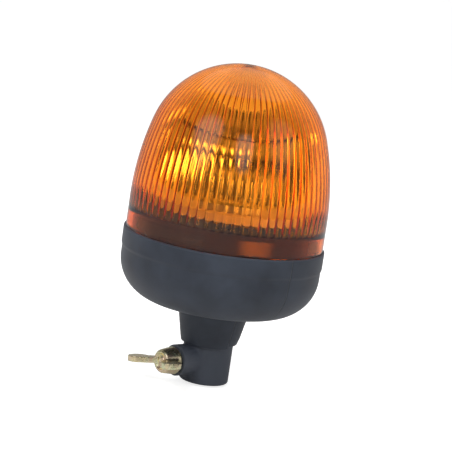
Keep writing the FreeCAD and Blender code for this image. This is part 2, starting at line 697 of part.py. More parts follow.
def make_chassis():
    """Deck with a rim in the lens, a tower for the rotor, three posts and the bayonet lugs."""
    chassis = turned("chassis", [
        ("tower_in_r", "deck_under_z"),
        ("rim_in_r", "deck_under_z"),
        ("rim_in_r", "foot_z"),
        ("foot_r", "foot_z"),
        ("foot_r", "foot_z + foot_thick"),
        ("rim_r", "foot_z + foot_thick"),
        ("rim_r", "deck_z + rim_rise"),
        ("rim_in_r", "deck_z + rim_rise"),
        ("rim_in_r", "deck_z"),
        ("tower_r", "deck_z"),
        ("tower_r", "tower_top_z"),
        ("tower_in_r", "tower_top_z"),
    ])
    lug = sketch_on(chassis, "XZ_Plane", [box_corners("rim_r - rim_wall / 2", "lug_r", "lug_z", "lug_z + lug_thick")],
                    turn="lug_middle")
    lugs = grow(chassis, "Revolution", lug, "V_Axis", Angle="lug_sweep", Midplane=True)
    ring_of(chassis, [lugs], "bayonet_count")
    rib = box_corners("rim_in_r - rib_reach", "rim_in_r + rim_wall / 2", "-rib_thick / 2", "rib_thick / 2")
    ribs = grow(chassis, "Pad", sketch_on(chassis, "XY_Plane", [rib], lift="deck_under_z - rib_deep"),
                Length="rib_deep + deck_thick / 2")
    ring_of(chassis, [ribs], "rib_count")
    post = grow(chassis, "Pad", sketch_on(chassis, "XY_Plane", circles=[post_circle("post_r")], lift="post_z"),
                Length="deck_z - post_z")
    ring_of(chassis, [post], "post_count")
    well = sketch_on(chassis, "XY_Plane", circles=[post_circle("screw_head_r + run_gap")], lift="deck_z")
    wells = cut(chassis, "Pocket", well, Length="deck_z - post_z - post_floor")
    ring_of(chassis, [wells], "post_count")
    hole = sketch_on(chassis, "XY_Plane", circles=[post_circle("screw_r + seat_gap")], lift="deck_z")
    holes = cut(chassis, "Pocket", hole, Length="deck_z - post_z")
    ring_of(chassis, [holes], "post_count")
    boss = sketch_on(chassis, "XY_Plane", circles=[("idler_x", "0", "axle_boss_r")], lift="deck_z")
    grow(chassis, "Pad", boss, Length="deck_thick + axle_boss", Reversed=True)
    axle_hole = sketch_on(chassis, "XY_Plane", circles=[("idler_x", "0", "axle_r")], lift="deck_z")
    cut(chassis, "Pocket", axle_hole, Length="deck_thick + axle_boss")
    nose = sketch_on(chassis, "XY_Plane", circles=[("motor_x", "motor_y", "motor_nose_r + seat_gap")], lift="deck_z")
    cut(chassis, "Pocket", nose, Length="deck_thick")
    aside_x = "motor_screw_ring * sin(motor_turn)"
    aside_y = "motor_screw_ring * cos(motor_turn)"
    screw_holes = sketch_on(chassis, "XY_Plane", circles=[
        (f"motor_x + {aside_x}", f"motor_y - {aside_y}", "screw_r + seat_gap"),
        (f"motor_x - {aside_x}", f"motor_y + {aside_y}", "screw_r + seat_gap"),
    ], lift="deck_z")
    cut(chassis, "Pocket", screw_holes, Length="deck_thick")
    turned("lens_seal", box_corners("rim_r + seat_gap", "foot_r", "foot_z + foot_thick",
                                    "foot_z + foot_thick + seal_thick"))


def screw_shape(length):
    """Pan-head screw pointing down from z = 0, its head above."""
    shank = Part.makeCylinder(size("screw_r"), length, FreeCAD.Vector(0, 0, -length))
    head = Part.makeCylinder(size("screw_head_r"), size("screw_head"))
    rim = [edge for edge in head.Edges if edge.CenterOfMass.z > size("screw_head") / 2 and edge.Closed]
    return shank.fuse(head.makeFillet(size("screw_head") / 2, rim)).removeSplitter()


def make_screws(label, places, length):
    """Identical screws standing at the given places, as one group."""
    screws = []
    for spot in places:
        screw = screw_shape(length)
        screw.translate(FreeCAD.Vector(*spot))
        screws.append(screw)
    solid_feature(label, Part.makeCompound(screws))


def make_all_screws():
    """Screws of the chassis, the motor and the reflector's bracket."""
    count = round(size("post_count"))
    ring = size("post_ring_r")
    angles = [math.radians(size("post_first") + 360 * index / count) for index in range(count)]
    seat = size("post_z + post_floor")
    make_screws("chassis_screws", [(ring * math.cos(turn), ring * math.sin(turn), seat) for turn in angles],
                size("post_floor + flange_thick"))
    turn = math.radians(size("motor_turn"))
    reach = size("motor_screw_ring")
    spots = [(size("motor_x") + side * reach * math.sin(turn), size("motor_y") - side * reach * math.cos(turn),
              size("deck_z")) for side in (1, -1)]
    make_screws("motor_screws", spots, size("screw_long"))
    turn = math.radians(size("heading"))
    back = -size("foot_screw_x")
    spots = []
    for side in (1, -1):
        across = side * size("foot_screw_pitch") / 2
        spots.append((back * math.cos(turn) - across * math.sin(turn),
                      back * math.sin(turn) + across * math.cos(turn),
                      size("disc_z + seat_gap + bracket_thick")))
    make_screws("bracket_screws", spots, size("bracket_thick + disc_thick"))


def involute(angle):
    return math.tan(angle) - angle


def gear_shape(module, teeth, face, bore, first=0.0):
    """Spur gear with involute flanks on z = 0, a tooth centred at the angle first."""
    pressure = math.radians(20)
    pitch_r = module * teeth / 2
    base_r = pitch_r * math.cos(pressure)
    radii = (pitch_r - 1.2 * module, pitch_r, pitch_r + module)
    half_tooth = math.pi / (2 * teeth) - size("backlash") / (2 * pitch_r)
    flank = []
    for radius in radii:
        lean = math.acos(min(base_r / radius, 1.0))
        flank.append((radius, half_tooth + involute(pressure) - involute(lean)))
    corners = []
    for index in range(teeth):
        middle = math.radians(first) + 2 * math.pi * index / teeth
        for radius, half in flank:
            corners.append((radius, middle - half))
        for radius, half in reversed(flank):
            corners.append((radius, middle + half))
    points = [FreeCAD.Vector(radius * math.cos(turn), radius * math.sin(turn), 0) for radius, turn in corners]
    blank = Part.Face(Part.makePolygon(points + points[:1])).extrude(FreeCAD.Vector(0, 0, face))
    return blank.cut(Part.makeCylinder(bore, face))


def make_drive():
    """Motor under the deck, idler beside the tower and the rotor's ring gear, all in mesh."""
    motor = turned("motor_case", [
        ("shaft_r + shaft_gap", "motor_low_z"),
        ("motor_r - motor_edge", "motor_low_z", "motor_edge", LEFT),
        ("motor_r", "motor_low_z + motor_edge"),
        ("motor_r", "motor_top_z - motor_edge", "motor_edge", LEFT),
        ("motor_r - motor_edge", "motor_top_z"),
        ("motor_nose_r", "motor_top_z"),
        ("motor_nose_r", "motor_top_z + motor_nose"),
        ("shaft_r + shaft_gap", "motor_top_z + motor_nose"),
    ])
    holes = sketch_on(motor, "XY_Plane", circles=[
        ("0", "motor_screw_ring", "screw_r"),
        ("0", "-motor_screw_ring", "screw_r"),
    ], lift="motor_top_z")
    cut(motor, "Pocket", holes, Length="screw_long")
    cap = turned("motor_end_cap", [
        ("0", "motor_low_z - motor_cap"),
        ("motor_r - motor_edge", "motor_low_z - motor_cap"),
        ("motor_r - motor_edge", "motor_low_z - seat_gap"),
        ("shaft_r + shaft_gap", "motor_low_z - seat_gap"),
        ("shaft_r + shaft_gap", "motor_low_z - motor_cap / 2"),
        ("0", "motor_low_z - motor_cap / 2"),
    ])
    tabs = new_body("motor_tabs")
    blade = box_corners("-motor_tab_ring", "tab_thick - motor_tab_ring", "-motor_cap / 2", "motor_cap / 2")
    grow(tabs, "Pad", sketch_on(tabs, "XY_Plane", [blade], lift="motor_low_z - motor_cap"),
         Length="motor_tab", Reversed=True)
    shaft = turned("motor_shaft", box_corners("0", "shaft_r", "motor_low_z - motor_cap / 2 + seat_gap",
                                              "wheel_z + wheel_thick + seat_gap"))
    for thing in (motor, cap, tabs, shaft):
        place(thing, x="motor_x", y="motor_y", turn="motor_turn")
    fast = size("fast_module")
    slow = size("slow_module")
    large = round(size("large_teeth"))
    small = round(size("small_teeth"))
    pinion = round(size("pinion_teeth"))
    ring = round(size("rotor_teeth"))
    toward_motor = size("motor_turn")
    pinion_shape = gear_shape(fast, pinion, size("wheel_thick"), size("shaft_r"), toward_motor + 180 + 180 / pinion)
    solid_feature("motor_pinion", pinion_shape, x="motor_x", y="motor_y", z="wheel_z")
    wheel = gear_shape(fast, large, size("wheel_thick"), size("axle_r + shaft_gap"), toward_motor)
    upper = gear_shape(slow, small, size("small_gear_thick"), size("axle_r + shaft_gap"), 180 + 180 / small)
    upper.translate(FreeCAD.Vector(0, 0, size("wheel_thick")))
    solid_feature("idler_gear", wheel.fuse(upper).removeSplitter(), x="idler_x", z="wheel_z")
    axle = turned("idler_axle", box_corners("0", "axle_r - seat_gap / 4", "deck_under_z - axle_boss",
                                            "wheel_z + wheel_thick + small_gear_thick"))
    place(axle, x="idler_x")
    teeth = gear_shape(slow, ring, size("ring_gear_thick"), size("hub_in_r"))
    hub = Part.makeCylinder(size("hub_r"), size("hub_top_z - ring_gear_z"))
    hub = hub.cut(Part.makeCylinder(size("hub_in_r"), size("hub_top_z - ring_gear_z")))
    solid_feature("rotor_gear", teeth.fuse(hub).removeSplitter(), z="ring_gear_z")
    turned("tower_bush", [
        ("tower_r + seat_gap", "deck_z"),
        ("bush_r + bush_flange", "deck_z"),
        ("bush_r + bush_flange", "ring_gear_z - seat_gap"),
        ("bush_r", "ring_gear_z - seat_gap"),
        ("bush_r", "hub_top_z"),
        ("tower_r + seat_gap", "hub_top_z"),
    ])
    turned("thrust_washer", box_corners("tower_r + seat_gap", "washer_r", "hub_top_z + seat_gap", "tower_top_z"))


def make_rotor():
    """Turntable with the parabolic reflector, its bracket and the counterweight."""
    disc = turned("turntable", [
        ("hub_r + seat_gap", "disc_z - disc_thick"),
        ("disc_r - disc_rim_wall", "disc_z - disc_thick"),
        ("disc_r - disc_rim_wall", "disc_z - disc_rim"),
        ("disc_r", "disc_z - disc_rim"),
        ("disc_r", "disc_z"),
        ("hub_r + seat_gap", "disc_z"),
    ])
    holes = sketch_on(disc, "XY_Plane", circles=[
        ("-foot_screw_x", "foot_screw_pitch / 2", "screw_r + seat_gap"),
        ("-foot_screw_x", "-foot_screw_pitch / 2", "screw_r + seat_gap"),
    ], lift="disc_z")
    cut(disc, "Pocket", holes, Length="disc_thick")
    place(disc, turn="heading")
    bracket = new_body("reflector_bracket")
    front = "-(mirror_focus + mirror_wall + seat_gap)"
    profile = sketch_on(bracket, "XZ_Plane", [[
        (front, "disc_z + seat_gap + 2 * bracket_thick"),
        (front, "mirror_middle_z + rivet_pitch"),
        (f"{front} - bracket_thick", "mirror_middle_z + rivet_pitch"),
        (f"{front} - bracket_thick", "disc_z + seat_gap + 2 * bracket_thick", "bracket_thick", RIGHT),
        (f"{front} - 2 * bracket_thick", "disc_z + seat_gap + bracket_thick"),
        (f"{front} - bracket_thick - bracket_foot", "disc_z + seat_gap + bracket_thick"),
        (f"{front} - bracket_thick - bracket_foot", "disc_z + seat_gap"),
        (f"{front} - 2 * bracket_thick", "disc_z + seat_gap", "2 * bracket_thick", LEFT),
    ]])
    grow(bracket, "Pad", profile, Length="bracket_wide", Midplane=True)
    rivet_holes = sketch_on(bracket, "YZ_Plane", circles=[
        ("0", "mirror_middle_z + rivet_pitch / 2", "rivet_r + seat_gap"),
        ("0", "mirror_middle_z - rivet_pitch / 2", "rivet_r + seat_gap"),
    ])
    cut(bracket, "Pocket", rivet_holes, Length="mirror_focus + mirror_wall + 2 * bracket_thick", Reversed=False)
    foot_holes = sketch_on(bracket, "XY_Plane", circles=[
        ("-foot_screw_x", "foot_screw_pitch / 2", "screw_r + seat_gap"),
        ("-foot_screw_x", "-foot_screw_pitch / 2", "screw_r + seat_gap"),
    ], lift="disc_z + seat_gap + bracket_thick")
    cut(bracket, "Pocket", foot_holes, Length="bracket_thick")
    place(bracket, turn="heading")
    solid_feature("reflector", reflector_shape(), z="mirror_middle_z", turn="heading")
    solid_feature("reflector_rivets", rivets_shape(), z="mirror_middle_z", turn="heading")
    weight = new_body("counterweight")
    block = sketch_on(weight, "XZ_Plane", [box_corners("weight_near", "weight_far", "disc_z + seat_gap",
                                                       "disc_z + seat_gap + weight_tall")])
    grow(weight, "Revolution", block, "V_Axis", Angle="weight_sweep", Midplane=True)
    place(weight, turn="heading")


def reflector_shape():
    """Parabolic shell that opens to +X with its focus on the origin, trimmed to a rounded rectangle."""
    focus = size("mirror_focus")
    wall = size("mirror_wall")
    half_wide = size("mirror_wide") / 2
    half_tall = size("mirror_tall") / 2
    reach = math.hypot(half_wide, half_tall)
    steps = 8
    spots = [(reach * index / steps, (reach * index / steps) ** 2 / (4 * focus) - focus)
             for index in range(steps + 1)]
    inner = Part.BSplineCurve()
    inner.interpolate([FreeCAD.Vector(depth, 0, out) for out, depth in spots])
    outer = Part.BSplineCurve()
    outer.interpolate([FreeCAD.Vector(depth - wall, 0, out) for out, depth in spots])
    ends = [Part.LineSegment(inner.StartPoint, outer.StartPoint).toShape(),
            Part.LineSegment(inner.EndPoint, outer.EndPoint).toShape()]
    face = Part.Face(Part.Wire(Part.__sortEdges__([inner.toShape(), outer.toShape()] + ends)))
    bowl = face.revolve(FreeCAD.Vector(0, 0, 0), FreeCAD.Vector(1, 0, 0), 360)
    block = Part.makeBox(4 * focus, 2 * half_wide, 2 * half_tall, FreeCAD.Vector(-2 * focus, -half_wide, -half_tall))
    corners = [edge for edge in block.Edges if abs(edge.tangentAt(edge.FirstParameter).x) > 0.9]
    mirror = bowl.common(block.makeFillet(size("mirror_corner"), corners))
    for side in (1, -1):
        height = side * size("rivet_pitch") / 2
        start = FreeCAD.Vector(-2 * focus, 0, height)
        mirror = mirror.cut(Part.makeCylinder(size("rivet_r + seat_gap"), 2 * focus, start, FreeCAD.Vector(1, 0, 0)))
    return mirror


def rivets_shape():
    """Two rivets along X through the reflector's back and its bracket."""
    along = FreeCAD.Vector(1, 0, 0)
    head = size("rivet_head")
    head_r = size("rivet_head_r")
    focus = size("mirror_focus")
    half_pitch = size("rivet_pitch") / 2
    front = (half_pitch + head_r) ** 2 / (4 * focus) - focus + size("seat_gap")
    back = -size("mirror_focus + mirror_wall + bracket_thick + 2 * seat_gap")
    rivets = []
    for height in (half_pitch, -half_pitch):
        shank = Part.makeCylinder(size("rivet_r"), front - back, FreeCAD.Vector(back, 0, height), along)
        near = Part.makeCylinder(head_r, head, FreeCAD.Vector(front, 0, height), along)
        far = Part.makeCylinder(head_r, head, FreeCAD.Vector(back - head, 0, height), along)
        rivets.append(shank.fuse([near, far]).removeSplitter())
    return Part.makeCompound(rivets)


def make_bulb():
    """Halogen bulb, its holder on top of the tower and the spring clip."""
    turned("bulb_holder", [
        ("0", "socket_z - socket_stem"),
        ("tower_in_r - seat_gap", "socket_z - socket_stem"),
        ("tower_in_r - seat_gap", "socket_z"),
        ("socket_r", "socket_z"),
        ("socket_r", "socket_z + socket_flange"),
        ("socket_neck_r", "socket_z + socket_flange"),
        ("socket_neck_r", "bulb_z"),
        ("socket_hollow_r", "bulb_z"),
        ("socket_hollow_r", "socket_z"),
        ("0", "socket_z"),
    ])
    base = turned("bulb_base", [
        ("0", "bulb_z + seat_gap"),
        ("cap_flange_r", "bulb_z + seat_gap"),
        ("cap_flange_r", "bulb_z + cap_flange"),
        ("cap_r", "bulb_z + cap_flange"),
        ("cap_r", "bulb_z + cap_flange + 2 * cap_tall / 3"),
        ("glass_r + glass_wall", "glass_z"),
        ("0", "glass_z"),
    ])
    blade = box_corners("-tab_thick / 2", "tab_thick / 2", "-tab_wide / 2", "tab_wide / 2")
    grow(base, "Pad", sketch_on(base, "XY_Plane", [blade], lift="bulb_z + seat_gap"), Length="tab_long",
         Reversed=True)
    turned("bulb_glass", [
        ("0", "glass_z"),
        ("glass_r", "glass_z"),
        ("glass_r", "glass_z + glass_tall - glass_r", "glass_r", LEFT),
        ("0", "glass_z + glass_tall"),
        ("0", "glass_z + glass_tall - glass_wall", "glass_r - glass_wall", RIGHT),
        ("glass_r - glass_wall", "glass_z + glass_tall - glass_r"),
        ("glass_r - glass_wall", "glass_z + glass_wall"),
        ("0", "glass_z + glass_wall"),
    ])
    middle = size("bulb_z + filament_rise")
    low = size("glass_z + glass_wall + seat_gap")
    half = size("filament_long") / 2
    coil_r = size("filament_r")
    coil = Part.makeCylinder(coil_r, 2 * half, FreeCAD.Vector(0, 0, middle - half))
    near = Part.makeCylinder(coil_r / 3, middle - half - low + coil_r, FreeCAD.Vector(0, 0, low))
    bow = bent_wire([(0, 0, middle + half - coil_r), (0, 0, middle + half + coil_r),
                     (3 * coil_r, 0, middle + half + coil_r), (3 * coil_r, 0, low)])
    solid_feature("bulb_filament", coil.fuse([near, round_bar(bow, coil_r / 3)]).removeSplitter())
    wire_r = size("clip_wire_r")
    arm = size("cap_r + clip_wire_r + seat_gap")
    reach = size("socket_neck_r + clip_wire_r + run_gap")
    level = size("bulb_z + cap_flange + clip_wire_r + seat_gap")
    foot = size("socket_z + socket_flange + seat_gap")
    clip = bent_wire([(-reach, -arm, foot), (-reach, -arm, level), (reach, -arm, level),
                      (reach, arm, level), (-reach, arm, level), (-reach, arm, foot)], 0.4)
    solid_feature("bulb_clip", round_bar(clip, wire_r))


def make_leads():
    """Insulated leads from the supply terminal and the ground strip to the bulb and the motor."""
    radius = size("lead_r")
    tab_x = size("tab_x + tab_thick / 2")
    tab_top = size("carrier_top_z + seat_gap + terminal_thick + tab_long + seat_gap")
    holder_low = size("socket_z - socket_stem - seat_gap")
    beside = size("lead_offset")
    rise = (holder_low - tab_top) / 3
    bulb = bent_wire([(-tab_x, 0, tab_top), (-tab_x, 0, tab_top + rise), (beside, 0, tab_top + 2 * rise),
                      (beside, 0, holder_low)])
    solid_feature("lead_bulb", round_bar(bulb, radius))
    turn = math.radians(size("motor_turn"))
    blade = size("motor_tab_ring - tab_thick / 2")
    end_x = size("motor_x") - blade * math.cos(turn)
    end_y = size("motor_y") - blade * math.sin(turn)
    end_z = size("motor_low_z - motor_cap - motor_tab - seat_gap")
    height = end_z - tab_top
    motor = bent_wire([(tab_x, 0, tab_top), (tab_x, 0, tab_top + height / 3),
                       (end_x, end_y, end_z - height / 3), (end_x, end_y, end_z)])
    solid_feature("lead_motor", round_bar(motor, radius))
    strip_x = size("seat_gap - sleeve_r + seat_gap + strip_thick / 2")
    strip_top = size("flange_top_z + strip_rise + seat_gap")
    rise = (holder_low - strip_top) / 3
    ground = bent_wire([(strip_x, 0, strip_top), (strip_x, 0, strip_top + rise),
                        (-beside, 0, strip_top + 2 * rise), (-beside, 0, holder_low)])
    solid_feature("lead_ground", round_bar(ground, radius))


def lens_outside(angle_share):
    """Radius, height and outward normal of the lens profile, from the band (0) to the flutes' end (1)."""
    side_curve = size("side_curve")
    crown_r = size("crown_r")
    turn = math.radians(size("crown_turn"))
    side_low = math.asin((size("flute_z") - size("side_z")) / side_curve)
    crown_high = math.acos(size("flute_end_r") / crown_r)
    side_length = side_curve * (turn - side_low)
    crown_length = crown_r * (crown_high - turn)
    run = angle_share * (side_length + crown_length)
    if run < side_length:
        lean = side_low + run / side_curve
        centre = (size("lens_r") - side_curve, size("side_z"), side_curve)
    else:
        lean = turn + (run - side_length) / crown_r
        centre = (0.0, size("crown_z"), crown_r)
    out = centre[0] + centre[2] * math.cos(lean)
    height = centre[1] + centre[2] * math.sin(lean)
    return out, height, math.cos(lean), math.sin(lean)


def flute_line(wall, angle):
    """Curve up the inside of the lens, from the wall given at the band to the crown's wall."""
    steps = 9
    points = []
    for index in range(steps + 1):
        share = index / steps
        out, height, normal_out, normal_up = lens_outside(share)
        thick = wall + (size("crown_wall") - wall) * share ** 2
        radius = out - thick * normal_out
        level = height - thick * normal_up
        points.append(FreeCAD.Vector(radius * math.cos(angle), radius * math.sin(angle), level))
    points[0].z = size("flute_z")
    curve = Part.BSplineCurve()
    curve.interpolate(points)
    return curve.toShape()


def flute_hollow():
    """Solid of the space inside the fluted wall, with straight facets between ridges and valleys."""
    count = round(size("flute_count"))
    valley = size("valley_wall")
    ridge = valley + size("flute_depth")
    lines = []
    for index in range(2 * count):
        wall = valley if index % 2 == 0 else ridge
        lines.append(flute_line(wall, math.pi * index / count))
    faces = []
    for line, following in zip(lines, lines[1:] + lines[:1]):
        faces.append(Part.makeRuledSurface(line, following))
    for end in (0, -1):
        ring = [line.valueAt(line.FirstParameter if end == 0 else line.LastParameter) for line in lines]
        faces.append(Part.Face(Part.makePolygon(ring + ring[:1])))
    shell = Part.makeShell(faces)
    shell.sewShape()
    solid = Part.makeSolid(shell)
    if solid.Volume < 0:
        solid.reverse()
    return solid


def make_lens():
    """Domed lens: skirt inside the lip, smooth band with bayonet pockets, flutes and crown."""
    dome = doc.addObject("PartDesign::Body", "lens_dome")
    outline = [
        ("skirt_in_r", "skirt_z"),
        ("skirt_r", "skirt_z"),
        ("skirt_r", "shoulder_z"),
        ("lens_r", "shoulder_z"),
        ("lens_r", "side_z", "side_curve", LEFT),
        ("crown_r * cos(crown_turn)", "crown_z + crown_r * sin(crown_turn)", "crown_r", LEFT),
        ("0", "apex_z"),
        ("0", "flute_z"),
        ("skirt_in_r", "flute_z"),
    ]
    grow(dome, "Revolution", sketch_on(dome, "XZ_Plane", [outline]), "V_Axis", Angle="360")
    pocket = box_corners("skirt_in_r - run_gap", "pocket_r", "pocket_z", "pocket_z + pocket_tall")
    pocket_sketch = sketch_on(dome, "XZ_Plane", [pocket], turn="pocket_start + pocket_sweep / 2")
    pockets = cut(dome, "Groove", pocket_sketch, "V_Axis", Angle="pocket_sweep", Midplane=True)
    ring_of(dome, [pockets], "bayonet_count")
    gate = box_corners("skirt_in_r - run_gap", "pocket_r", "skirt_z - run_gap", "pocket_z + pocket_tall")
    gate_sketch = sketch_on(dome, "XZ_Plane", [gate], turn="gate_middle")
    gates = cut(dome, "Groove", gate_sketch, "V_Axis", Angle="gate_sweep", Midplane=True)
    ring_of(dome, [gates], "bayonet_count")
    hollow = doc.addObject("Part::Feature", "lens_hollow")
    hollow.Shape = flute_hollow()
    lens = keep(doc.addObject("Part::Cut", "lens"), "lens")
    lens.Base = dome
    lens.Tool = hollow


def check_document():
    """Stop if any object of the document failed or any sub-part has no sound shape."""
    doc.recompute()
    for thing in doc.Objects:
        if any(word in thing.State for word in ("Invalid", "Error")):
            raise RuntimeError(f"{thing.Label} failed: {thing.State}")
    for thing in finished:
        if thing.Shape.isNull() or not thing.Shape.isValid() or not thing.Shape.Solids:
            raise RuntimeError(f"{thing.Label} has no sound shape")


def write_parts():
    """Write every sub-part to its own STEP file."""
    os.makedirs("parts", exist_ok=True)
    for thing in finished:
        thing.Shape.exportStep(f"parts/{thing.Label}.step")
        print(f"{thing.Label}: {len(thing.Shape.Solids)} solid, {thing.Shape.Volume:.1f} mm3")


make_rubber_boot()
make_tube_holder()
make_clamp()
make_supply_contact()
make_chassis()
make_drive()
make_rotor()
make_bulb()
make_leads()
make_all_screws()
make_lens()
check_document()
write_parts()
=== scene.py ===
"""Rotating beacon: amber bayonet lens over a motor-driven mirror, rubber base, clamp socket for a pole.

Z runs up the beacon from the socket's mouth and the wing screw lies along -X. The sub-assemblies hold
their sizes in millimetres, which MM turns into metres. The finishes and the studio are in metres.
"""
import logging
import math
from dataclasses import dataclass
from enum import Enum
from functools import cache
from typing import Callable, Sequence

import bmesh
import bpy
from mathutils import Matrix, Vector


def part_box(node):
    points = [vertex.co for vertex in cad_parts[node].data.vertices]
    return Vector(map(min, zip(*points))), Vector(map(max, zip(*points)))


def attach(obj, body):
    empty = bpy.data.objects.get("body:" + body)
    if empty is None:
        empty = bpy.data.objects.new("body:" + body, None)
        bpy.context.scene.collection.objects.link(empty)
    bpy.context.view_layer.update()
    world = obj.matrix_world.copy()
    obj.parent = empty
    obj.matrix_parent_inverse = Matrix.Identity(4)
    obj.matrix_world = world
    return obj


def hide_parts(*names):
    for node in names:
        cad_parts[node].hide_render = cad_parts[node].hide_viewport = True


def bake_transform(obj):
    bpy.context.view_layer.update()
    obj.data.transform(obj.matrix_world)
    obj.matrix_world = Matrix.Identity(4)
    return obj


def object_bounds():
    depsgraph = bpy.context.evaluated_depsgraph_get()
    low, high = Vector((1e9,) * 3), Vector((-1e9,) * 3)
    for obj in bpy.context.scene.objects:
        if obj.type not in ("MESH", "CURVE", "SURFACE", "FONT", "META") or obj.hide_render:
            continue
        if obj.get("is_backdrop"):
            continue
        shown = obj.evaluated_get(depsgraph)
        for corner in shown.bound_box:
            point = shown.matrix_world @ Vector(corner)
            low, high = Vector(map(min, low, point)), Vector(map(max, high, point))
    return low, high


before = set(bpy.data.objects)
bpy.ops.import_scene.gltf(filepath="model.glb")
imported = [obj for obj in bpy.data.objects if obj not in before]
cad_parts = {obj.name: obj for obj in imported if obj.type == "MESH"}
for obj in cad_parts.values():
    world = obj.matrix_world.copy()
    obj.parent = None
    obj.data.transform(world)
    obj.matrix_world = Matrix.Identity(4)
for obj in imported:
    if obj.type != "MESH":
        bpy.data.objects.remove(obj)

LOG = logging.getLogger("beacon")
MM = 0.001
WHITE = (1.0, 1.0, 1.0, 1.0)
Colour = tuple[float, float, float]
Point = tuple[float, float]
Span = tuple[float, float]
Relief = tuple[float, float]
Output = bpy.types.NodeSocket


# ---------------------------------------------------------------- node tree helpers


class Tree:
    """Short way to add nodes to a shader or geometry tree and to join their sockets."""

    def __init__(self, tree: bpy.types.NodeTree) -> None:
        """Keep the node tree that is filled."""
        self.tree = tree

    def add(self, kind: str, settings: dict | None = None, **inputs: object) -> bpy.types.Node:
        """Add one node.

        Args:
            kind: the node's type name.
            settings: properties of the node itself.
            inputs: input sockets by name, with _ for a space; a value, or a socket to join.

        Returns:
            The new node.
        """
        node = self.tree.nodes.new(kind)
        for name, value in (settings or {}).items():
            setattr(node, name, value)
        for name, value in inputs.items():
            self.feed(node, name.replace("_", " "), value)
        return node

    def feed(self, node: bpy.types.Node, name: str | int, value: object) -> None:
        """Set an input socket to a value, or join it to another node's output.

        Args:
            node: the node that owns the input.
            name: the input's name or index.
            value: a plain value or an output socket.
        """
        if isinstance(value, Output):
            self.tree.links.new(value, node.inputs[name])
        else:
            node.inputs[name].default_value = value

    def math(self, operation: str, *values: object) -> Output:
        """Add a Math node.

        Args:
            operation: the sum that is done.
            values: its numbers, each a plain value or a socket.

        Returns:
            The result's socket.
        """
        node = self.add("ShaderNodeMath", {"operation": operation})
        for index, value in enumerate(values):
            self.feed(node, index, value)
        return node.outputs[0]

    def vector(self, operation: str, first: object, second: object) -> Output:
        """Add a Vector Math node.

        Args:
            operation: DOT_PRODUCT or DISTANCE, which give a number, or one that gives a vector.
            first: first vector or socket.
            second: second vector or socket.

        Returns:
            The result's socket.
        """
        node = self.add("ShaderNodeVectorMath", {"operation": operation})
        self.feed(node, 0, first)
        self.feed(node, 1, second)
        return node.outputs["Value" if operation in ("DOT_PRODUCT", "DISTANCE") else "Vector"]

    def ramp(self, value: object, start: object, end: object, low: float = 0.0, high: float = 1.0,
             soft: bool = False) -> Output:
        """Carry a number from one span to another, held at both ends.

        Args:
            value: the number's socket.
            start: value that gives low.
            end: value that gives high.
            low: first result.
            high: last result.
            soft: ease in and out.

        Returns:
            The result's socket.
        """
        way = {"interpolation_type": "SMOOTHSTEP" if soft else "LINEAR"}
        return self.add("ShaderNodeMapRange", way, Value=value, From_Min=start, From_Max=end,
                        To_Min=low, To_Max=high).outputs[0]

    def blend(self, share: object, first: object, second: object) -> Output:
        """Mix two colours.

        Args:
            share: 0 for the first colour, 1 for the second.
            first: colour or socket.
            second: colour or socket.

        Returns:
            The mixed colour's socket.
        """
        node = self.add("ShaderNodeMix", {"data_type": "RGBA"})
        self.feed(node, 0, share)
        for index, value in ((6, first), (7, second)):
            self.feed(node, index, (*value, 1.0) if isinstance(value, tuple) else value)
        return node.outputs[2]

    def noise(self, place: Output, scale: object, detail: float, roughness: float = 0.5) -> Output:
        """Noise at a place, from 0 to 1."""
        return self.add("ShaderNodeTexNoise", Vector=place, Scale=scale, Detail=detail,
                        Roughness=roughness).outputs["Fac"]

    def object_place(self) -> Output:
        """Place in the piece's own coordinates, in metres."""
        return self.add("ShaderNodeTexCoord").outputs["Object"]

    def along(self, axis: str, vector: Output) -> Output:
        """One part of a vector: X, Y or Z."""
        return self.add("ShaderNodeSeparateXYZ", Vector=vector).outputs[axis]

    def use(self, group: bpy.types.NodeTree, **inputs: object) -> bpy.types.NodeOutputs:
        """Add a shared group, with its inputs by name, and give its outputs."""
        return self.add("ShaderNodeGroup", {"node_tree": group}, **inputs).outputs


class EffectTree(Tree):
    """Shader node group that several finishes place with their own values."""

    def __init__(self, name: str, inputs: dict[str, object], *outputs: str) -> None:
        """Start the group.

        Args:
            name: the group's name.
            inputs: each input's name and default; a tuple makes it a vector.
            outputs: names of the masks and heights that it gives.
        """
        super().__init__(bpy.data.node_groups.new(name, "ShaderNodeTree"))
        for label, value in inputs.items():
            kind = "NodeSocketVector" if isinstance(value, tuple) else "NodeSocketFloat"
            socket = self.tree.interface.new_socket(name=label, in_out="INPUT", socket_type=kind)
            socket.default_value = value
        for label in outputs:
            self.tree.interface.new_socket(name=label, in_out="OUTPUT", socket_type="NodeSocketFloat")
        self.given = self.add("NodeGroupInput").outputs

    def close(self, **outputs: Output) -> bpy.types.NodeTree:
        """Join the outputs by name and give the finished group."""
        self.add("NodeGroupOutput", **outputs)
        return self.tree


